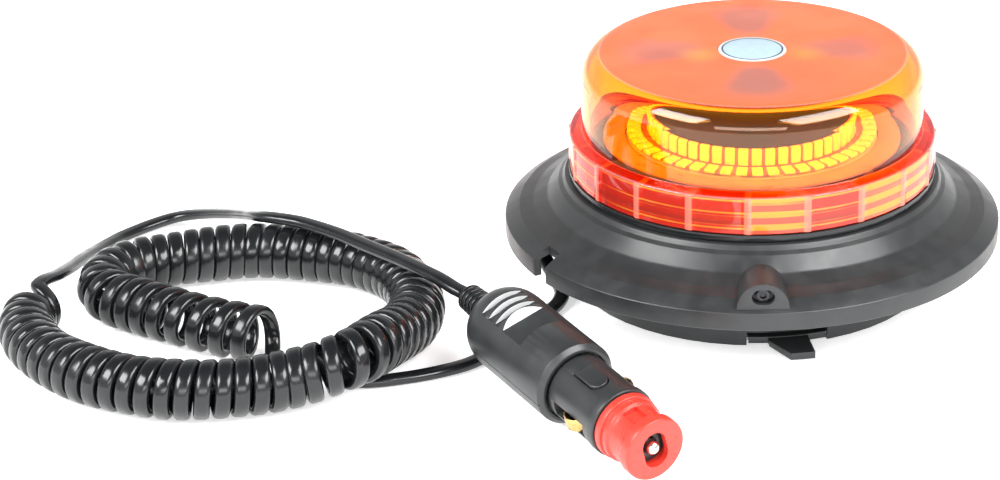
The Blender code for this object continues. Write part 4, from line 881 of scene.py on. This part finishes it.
def make_grip():
    """The fat rear half, with scooped finger slots, a wide flat and a moulding seam."""
    outline = [(3.5, GRIP_START), (4.6, GRIP_START)]
    for i in range(1, 13):
        turn = 0.5 * math.pi * i / 12
        outline.append((
            GRIP_REAR_RADIUS + (GRIP_RADIUS - GRIP_REAR_RADIUS) * math.sin(turn),
            GRIP_START + (GRIP_SHOULDER - GRIP_START) * (1.0 - math.cos(turn)),
        ))
    outline += [
        (GRIP_RADIUS, GRIP_FRONT - GRIP_LIP, 0.5), (GRIP_RADIUS - GRIP_LIP, GRIP_FRONT, 0.4),
        (GRIP_BORE_RADIUS, GRIP_FRONT, 0.3), (GRIP_BORE_RADIUS, GRIP_FRONT - 2.0),
        (GRIP_STEP_RADIUS, GRIP_FRONT - 2.0), (GRIP_STEP_RADIUS, GRIP_SHOULDER),
        (4.7, 15.8), (3.5, 15.8),
    ]
    grip = along_plug(turned("grip_shell", outline, PLUG_SEGMENTS))
    for start, length in SCOOPS:
        back = scoop_lean(length) * (SCOOP_TOP - SCOOP_FLOOR) / LEAN_HEIGHT
        scoop = [
            (start, SCOOP_FLOOR), (start + length, SCOOP_FLOOR),
            (start + length, SCOOP_TOP), (start - back, SCOOP_TOP),
        ]
        boolean(grip, prism("scoop", scoop, -SCOOP_HALF, SCOOP_HALF, cross_plug()))
    seam = [
        (-SEAM_DEPTH, -SEAM_HALF), (-SEAM_DEPTH, SEAM_HALF),
        (SEAM_DEPTH, SEAM_HALF), (SEAM_DEPTH, -SEAM_HALF),
    ]
    for side in (-1, 1):
        edge = Matrix.Translation(PLUG_Y * side * (GRIP_RADIUS + 0.05) * MM) @ PLUG
        boolean(grip, prism("seam", seam, 23.5, GRIP_FRONT - 1.0, edge))
    soften(grip, 0.22, 38.0)
    finished(grip, "beacon", "black_plastic", "plug_grip")
    make_inlays()


def inlay_outline(start, length):
    """A crescent across the grip: a straight floor, and the grip's own curve just inside it."""
    steps = 20
    reach = GRIP_RADIUS - INLAY_MARGIN
    half = math.sqrt(reach**2 - (SCOOP_FLOOR + 0.1) ** 2)
    if start < GRIP_SHOULDER:
        behind = start - scoop_lean(length) - GRIP_START
        share = 1.0 - behind / (GRIP_SHOULDER - GRIP_START)
        bulge = (GRIP_RADIUS - GRIP_REAR_RADIUS) * math.sqrt(1.0 - share**2)
        reach = GRIP_REAR_RADIUS + bulge - INLAY_MARGIN
    floor = [(-half + 2.0 * half * i / steps, SCOOP_FLOOR + 0.08) for i in range(steps + 1)]
    curve = []
    for i in range(steps + 1):
        x = half - 2.0 * half * i / steps
        curve.append((x, max(SCOOP_FLOOR + 0.09, math.sqrt(max(0.0, reach**2 - x**2)))))
    return floor + curve


def make_inlays():
    """Pale crescent faces on the back walls of the scoops."""
    mesh = bmesh.new()
    for start, length in SCOOPS:
        outline = inlay_outline(start, length)
        faces = []
        for lift in (0.02, 0.16):
            made = []
            for x, y in outline:
                back = scoop_lean(length) * (y - SCOOP_FLOOR) / LEAN_HEIGHT
                made.append(mesh.verts.new(PLUG @ Vector((x * MM, y * MM, (start - back + lift) * MM))))
            faces.append(made)
        mesh.faces.new(faces[0][::-1])
        mesh.faces.new(faces[1])
        count = len(outline)
        for i in range(count):
            j = (i + 1) % count
            mesh.faces.new((faces[0][i], faces[0][j], faces[1][j], faces[1][i]))
    finished(solid("grip_inlays", mesh), "beacon", "pale_insert")


def tongue(inset):
    """The outline of the latch from above, larger by inset: along the plug, and across it."""
    start = LATCH_START - inset
    half = LATCH_HALF + inset
    end = LATCH_START + LATCH_LENGTH + inset - half
    return [(start, half), (start, -half)] + arc(end, 0.0, half, -90.0, 90.0, 20)


def make_barrel():
    """The slimmer front half with its collar, side windows and the gap round the latch."""
    outline = [
        (7.6, 53.8), (9.2, 53.8), (9.2, 56.5), (8.3, 56.5), (8.3, BARREL_START),
        (BARREL_RADIUS, BARREL_START, 0.3), (BARREL_RADIUS, 79.0, 0.2), (10.55, 79.3, 0.2),
        (10.55, BARREL_FRONT, 0.5), (7.6, BARREL_FRONT, 0.2),
    ]
    barrel = along_plug(turned("barrel_shell", outline, PLUG_SEGMENTS))
    window = [(62.0, -2.4), (76.6, -2.4), (76.6, 2.4), (62.0, 2.4)]
    for side in (-1, 1):
        low, high = sorted((side * 7.0, side * 13.5))
        boolean(barrel, prism("window", window, low, high, cross_plug()))
    boolean(barrel, prism("latch_gap", tongue(LATCH_GAP), 6.6, 12.5, down_plug()))
    soften(barrel, 0.2, 38.0)
    finished(barrel, "beacon", "black_plastic", "plug_barrel")


def make_latch():
    """A spring tongue that locks the adapter on, with a raised round end."""
    latch = prism("latch_tongue", tongue(0.0), 8.8, 10.6, down_plug())
    soften(latch, 0.4, 38.0, 3)
    finished(latch, "latch", "black_plastic", "plug_latch")


def make_adapter():
    """The red adapter for a wide socket: a ringed flange, a waist and a round end with a long opening."""
    end = ADAPTER_END
    outline = [
        (6.1, 78.6), (7.3, 78.6, 0.2), (7.3, 82.3), (10.0, 82.3, 0.5), (10.0, 84.7, 0.5), (9.1, 84.8, 0.2),
        (9.1, 85.5, 0.2), (9.5, 85.6, 0.3), (9.5, 87.3, 0.5), (8.7, 87.8, 0.6), (8.7, 93.4, 0.8),
        (9.6, 94.4, 0.6), (9.6, end, 0.7), (0.0, end), (0.0, end - 2.0), (6.1, end - 2.0),
    ]
    adapter = along_plug(turned("socket_adapter", outline, PLUG_SEGMENTS))
    opening = arc(0.0, 1.9, 3.8, 0.0, 180.0, 20) + arc(0.0, -1.9, 3.8, 180.0, 360.0, 20)
    boolean(adapter, prism("opening", opening, end - 3.0, end + 1.0, PLUG))
    notch = [(-2.3, 7.3), (2.3, 7.3), (2.3, 12.0), (-2.3, 12.0)]
    boolean(adapter, prism("notch", notch, 87.8, 94.3, PLUG))
    soften(adapter, 0.3, 38.0)
    finished(adapter, "adapter", "red_plastic", "adapter_cap")


def make_side_contacts():
    """The two brass springs in the barrel's windows."""
    for node in ("contact_spring_left", "contact_spring_right"):
        refined(node, 0.12, 50.0)


# ---------------------------------------------------------------- lens and optics

LENS_SEGMENTS = 360
RIB_HALF = 1.0
RIB_PROUD = 0.5
RIB_EDGE = 0.5                # the width over which a rib's side rises
LENS_TOP = 75.1
LENS_RADIUS = 53.3
SKIRT_RADIUS = 57.2
SKIRT_TOP = 49.2
SKIRT_FOOT = 37.6
OPTIC_COUNT = 50
OPTIC_WALL = 32.0             # radius of the ring of upright blocks
OPTIC_TEETH = 36.9            # radius of the ring of flat teeth
OPTIC_SEGMENTS = 200


def make_lens():
    """One amber moulding: flat top, round shoulder, straight wall and a wider ribbed skirt."""
    outer = [
        (0.0, 74.6), (10.8, 74.6), (10.9, LENS_TOP), (44.9, LENS_TOP, 0.0), (LENS_RADIUS, LENS_TOP, 8.4),
        (LENS_RADIUS, 49.9, 0.5), (SKIRT_RADIUS, SKIRT_TOP, 0.7), (SKIRT_RADIUS, SKIRT_FOOT, 0.3),
    ]
    inner = [
        (54.8, SKIRT_FOOT), (54.8, 39.4), (54.1, 39.8), (54.1, 40.8), (54.8, 41.2), (54.8, 43.4),
        (54.1, 43.8), (54.1, 44.8), (54.8, 45.2), (54.8, 46.6, 0.4), (50.9, 47.2, 0.4),
        (50.9, 72.6, 6.0), (0.0, 72.6),
    ]
    profile = [(r * MM, z * MM) for r, z in rounded(outer + inner, 10)]

    def ribs(radius, height, angle):
        if radius < (SKIRT_RADIUS - 0.3) * MM or height > (SKIRT_TOP - 0.2) * MM:
            return radius, height
        spacing = 2.0 * math.pi / RIB_COUNT
        off = (angle - RIB_PHASE + 0.5 * spacing) % spacing - 0.5 * spacing
        reach = abs(off) * radius / MM
        proud = RIB_PROUD * max(0.0, min(1.0, (RIB_HALF + 0.5 * RIB_EDGE - reach) / RIB_EDGE))
        return radius + proud * MM, height

    mesh = bmesh.new()
    lathe(mesh, profile, LENS_SEGMENTS, ribs)
    bmesh.ops.remove_doubles(mesh, verts=mesh.verts, dist=1e-6)
    lens = piece("amber_lens", mesh, "lens_unit", "amber_lens", 40.0)
    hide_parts("lens")


def block(mesh, centre_radius, angle, height, size, bevel):
    """A small bevelled block on a ring: size is (radial, along the ring, upward)."""
    made = bmesh.ops.create_cube(mesh, size=1.0)["verts"]
    turn = Matrix.Rotation(angle, 4, "Z")
    place = turn @ Matrix.Translation((centre_radius * MM, 0.0, height * MM))
    scale = Matrix.Diagonal((size[0] * MM, size[1] * MM, size[2] * MM, 1.0))
    bmesh.ops.transform(mesh, matrix=place @ scale, verts=made)
    edges = list({e for v in made for e in v.link_edges})
    bmesh.ops.bevel(mesh, geom=edges, offset=bevel * MM, segments=2, affect="EDGES", profile=0.5)


def make_optics():
    """The yellow light guide: a castellated wall on a toothed flange, over a darker core painted as the
    shade between the blocks.
    """
    core = bmesh.new()
    wall = rounded([(30.5, 49.1), (32.0, 49.1), (32.0, 54.6, 0.3), (30.5, 54.6, 0.3)], 3)
    lathe(core, [(r * MM, z * MM) for r, z in wall], OPTIC_SEGMENTS)
    flange = rounded([
        (32.0, 49.1), (38.6, 49.1, 0.2), (38.6, 49.7, 0.2), (33.9, 49.8, 0.2), (33.6, 49.4), (32.0, 49.4),
    ], 3)
    lathe(core, [(r * MM, z * MM) for r, z in flange], OPTIC_SEGMENTS)
    base = solid("light_guide_core", core)
    finished(base, "lens_unit", "yellow_optic", "optic_ring")
    # The core's darker amber is painted shade between the yellow blocks of the same moulding.
    base.data.materials[0] = OPTIC_GAP_SHADE
    mesh = bmesh.new()
    for i in range(OPTIC_COUNT):
        angle = 2.0 * math.pi * (i + 0.5) / OPTIC_COUNT
        block(mesh, OPTIC_WALL, angle, 52.4, (1.5, 3.0, 5.4), 0.35)
        block(mesh, OPTIC_TEETH, angle, 49.75, (4.4, 3.3, 1.2), 0.25)
    piece("light_guide", mesh, "lens_unit", "yellow_optic", 50.0)


def make_label():
    """A round printed film with a soft domed edge, stuck in the middle of the top."""
    mesh = bmesh.new()
    low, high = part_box("top_label")
    radius = high.x
    base = low.z
    top = high.z
    profile = [
        (0.0, base), (radius, base), (radius, base + 0.6 * (top - base)),
        (radius - 0.00006, top - 0.00006), (radius - 0.0002, top), (0.0, top),
    ]
    lathe(mesh, profile, 160)
    bmesh.ops.remove_doubles(mesh, verts=mesh.verts, dist=1e-7)
    label = piece("round_label", mesh, "lens_unit", "label_film", 40.0)
    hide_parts("top_label")


dress_cad_nodes()
make_lens()
make_optics()
make_label()
make_base()
make_boot()
make_grip()
make_barrel()
make_latch()
make_adapter()
make_side_contacts()
for detail in (
    "magnet_housing", "release_lever", "module_cap", "reflector_plate", "lens_gasket", "wire_clamp",
    "plug_nose", "tip_contact", "cord_grommet", "magnet_pad", "heat_sink",
):
    refined(detail, 0.15)
# The locking screws' dark metal is painted shade for the pockets they sit in.
for screw in ("locking_screw_1", "locking_screw_2"):
    refined(screw, 0.15).data.materials[0] = SCREW_POCKET_SHADE
make_cord()


# ---------------------------------------------------------------- floor and light

def make_floor():
    """A wide pale floor, a hair below the beacon's foot."""
    mesh = bmesh.new()
    bmesh.ops.create_grid(mesh, x_segments=8, y_segments=8, size=4.0)
    data = bpy.data.meshes.new("floor")
    mesh.to_mesh(data)
    mesh.free()
    floor = bpy.data.objects.new("floor", data)
    floor.location = (0.0, 0.0, -0.0001)
    bpy.context.scene.collection.objects.link(floor)
    data.materials.append(backdrop_material())


def area_light(name, place, aim, size, power):
    """A rectangular soft box that faces its aim. Its place and aim are in metres, its power in watts."""
    data = bpy.data.lights.new(name, "AREA")
    data.shape = "RECTANGLE"
    data.size, data.size_y = size
    data.energy = power
    made = bpy.data.objects.new(name, data)
    made.location = place
    made.rotation_mode = "QUATERNION"
    made.rotation_quaternion = (Vector(aim) - Vector(place)).to_track_quat("-Z", "Y")
    bpy.context.scene.collection.objects.link(made)


def make_light():
    """A bright horizon under a dim ceiling, two large soft boxes in front and a low front fill."""
    world = bpy.data.worlds.new("studio")
    world.use_nodes = True
    tree = world.node_tree
    split = tree.nodes.new("ShaderNodeSeparateXYZ")
    ramp = tree.nodes.new("ShaderNodeMapRange")
    ramp.inputs["From Min"].default_value = 0.15
    ramp.inputs["From Max"].default_value = 0.85
    ramp.inputs["To Min"].default_value = 1.0
    ramp.inputs["To Max"].default_value = 0.12
    tree.links.new(tree.nodes.new("ShaderNodeTexCoord").outputs["Generated"], split.inputs[0])
    tree.links.new(split.outputs["Z"], ramp.inputs["Value"])
    tree.links.new(ramp.outputs["Result"], tree.nodes["Background"].inputs["Strength"])
    tree.nodes["Background"].inputs["Color"].default_value = (1.0, 1.0, 1.0, 1.0)
    bpy.context.scene.world = world
    area_light("key_left", (-0.95, -0.58, 0.90), (-0.02, 0.0, 0.03), (0.80, 0.60), 24.0)
    area_light("key_right", (0.72, -0.56, 0.90), (-0.02, 0.0, 0.03), (0.95, 0.60), 24.0)
    area_light("front_fill", (-0.10, -1.50, 0.55), (-0.05, 0.0, 0.0), (1.3, 0.35), 8.0)
    bpy.context.scene.view_settings.view_transform = "Standard"
    bpy.context.scene.view_settings.look = "None"
    bpy.context.scene.view_settings.exposure = 0.0


make_floor()
make_light()
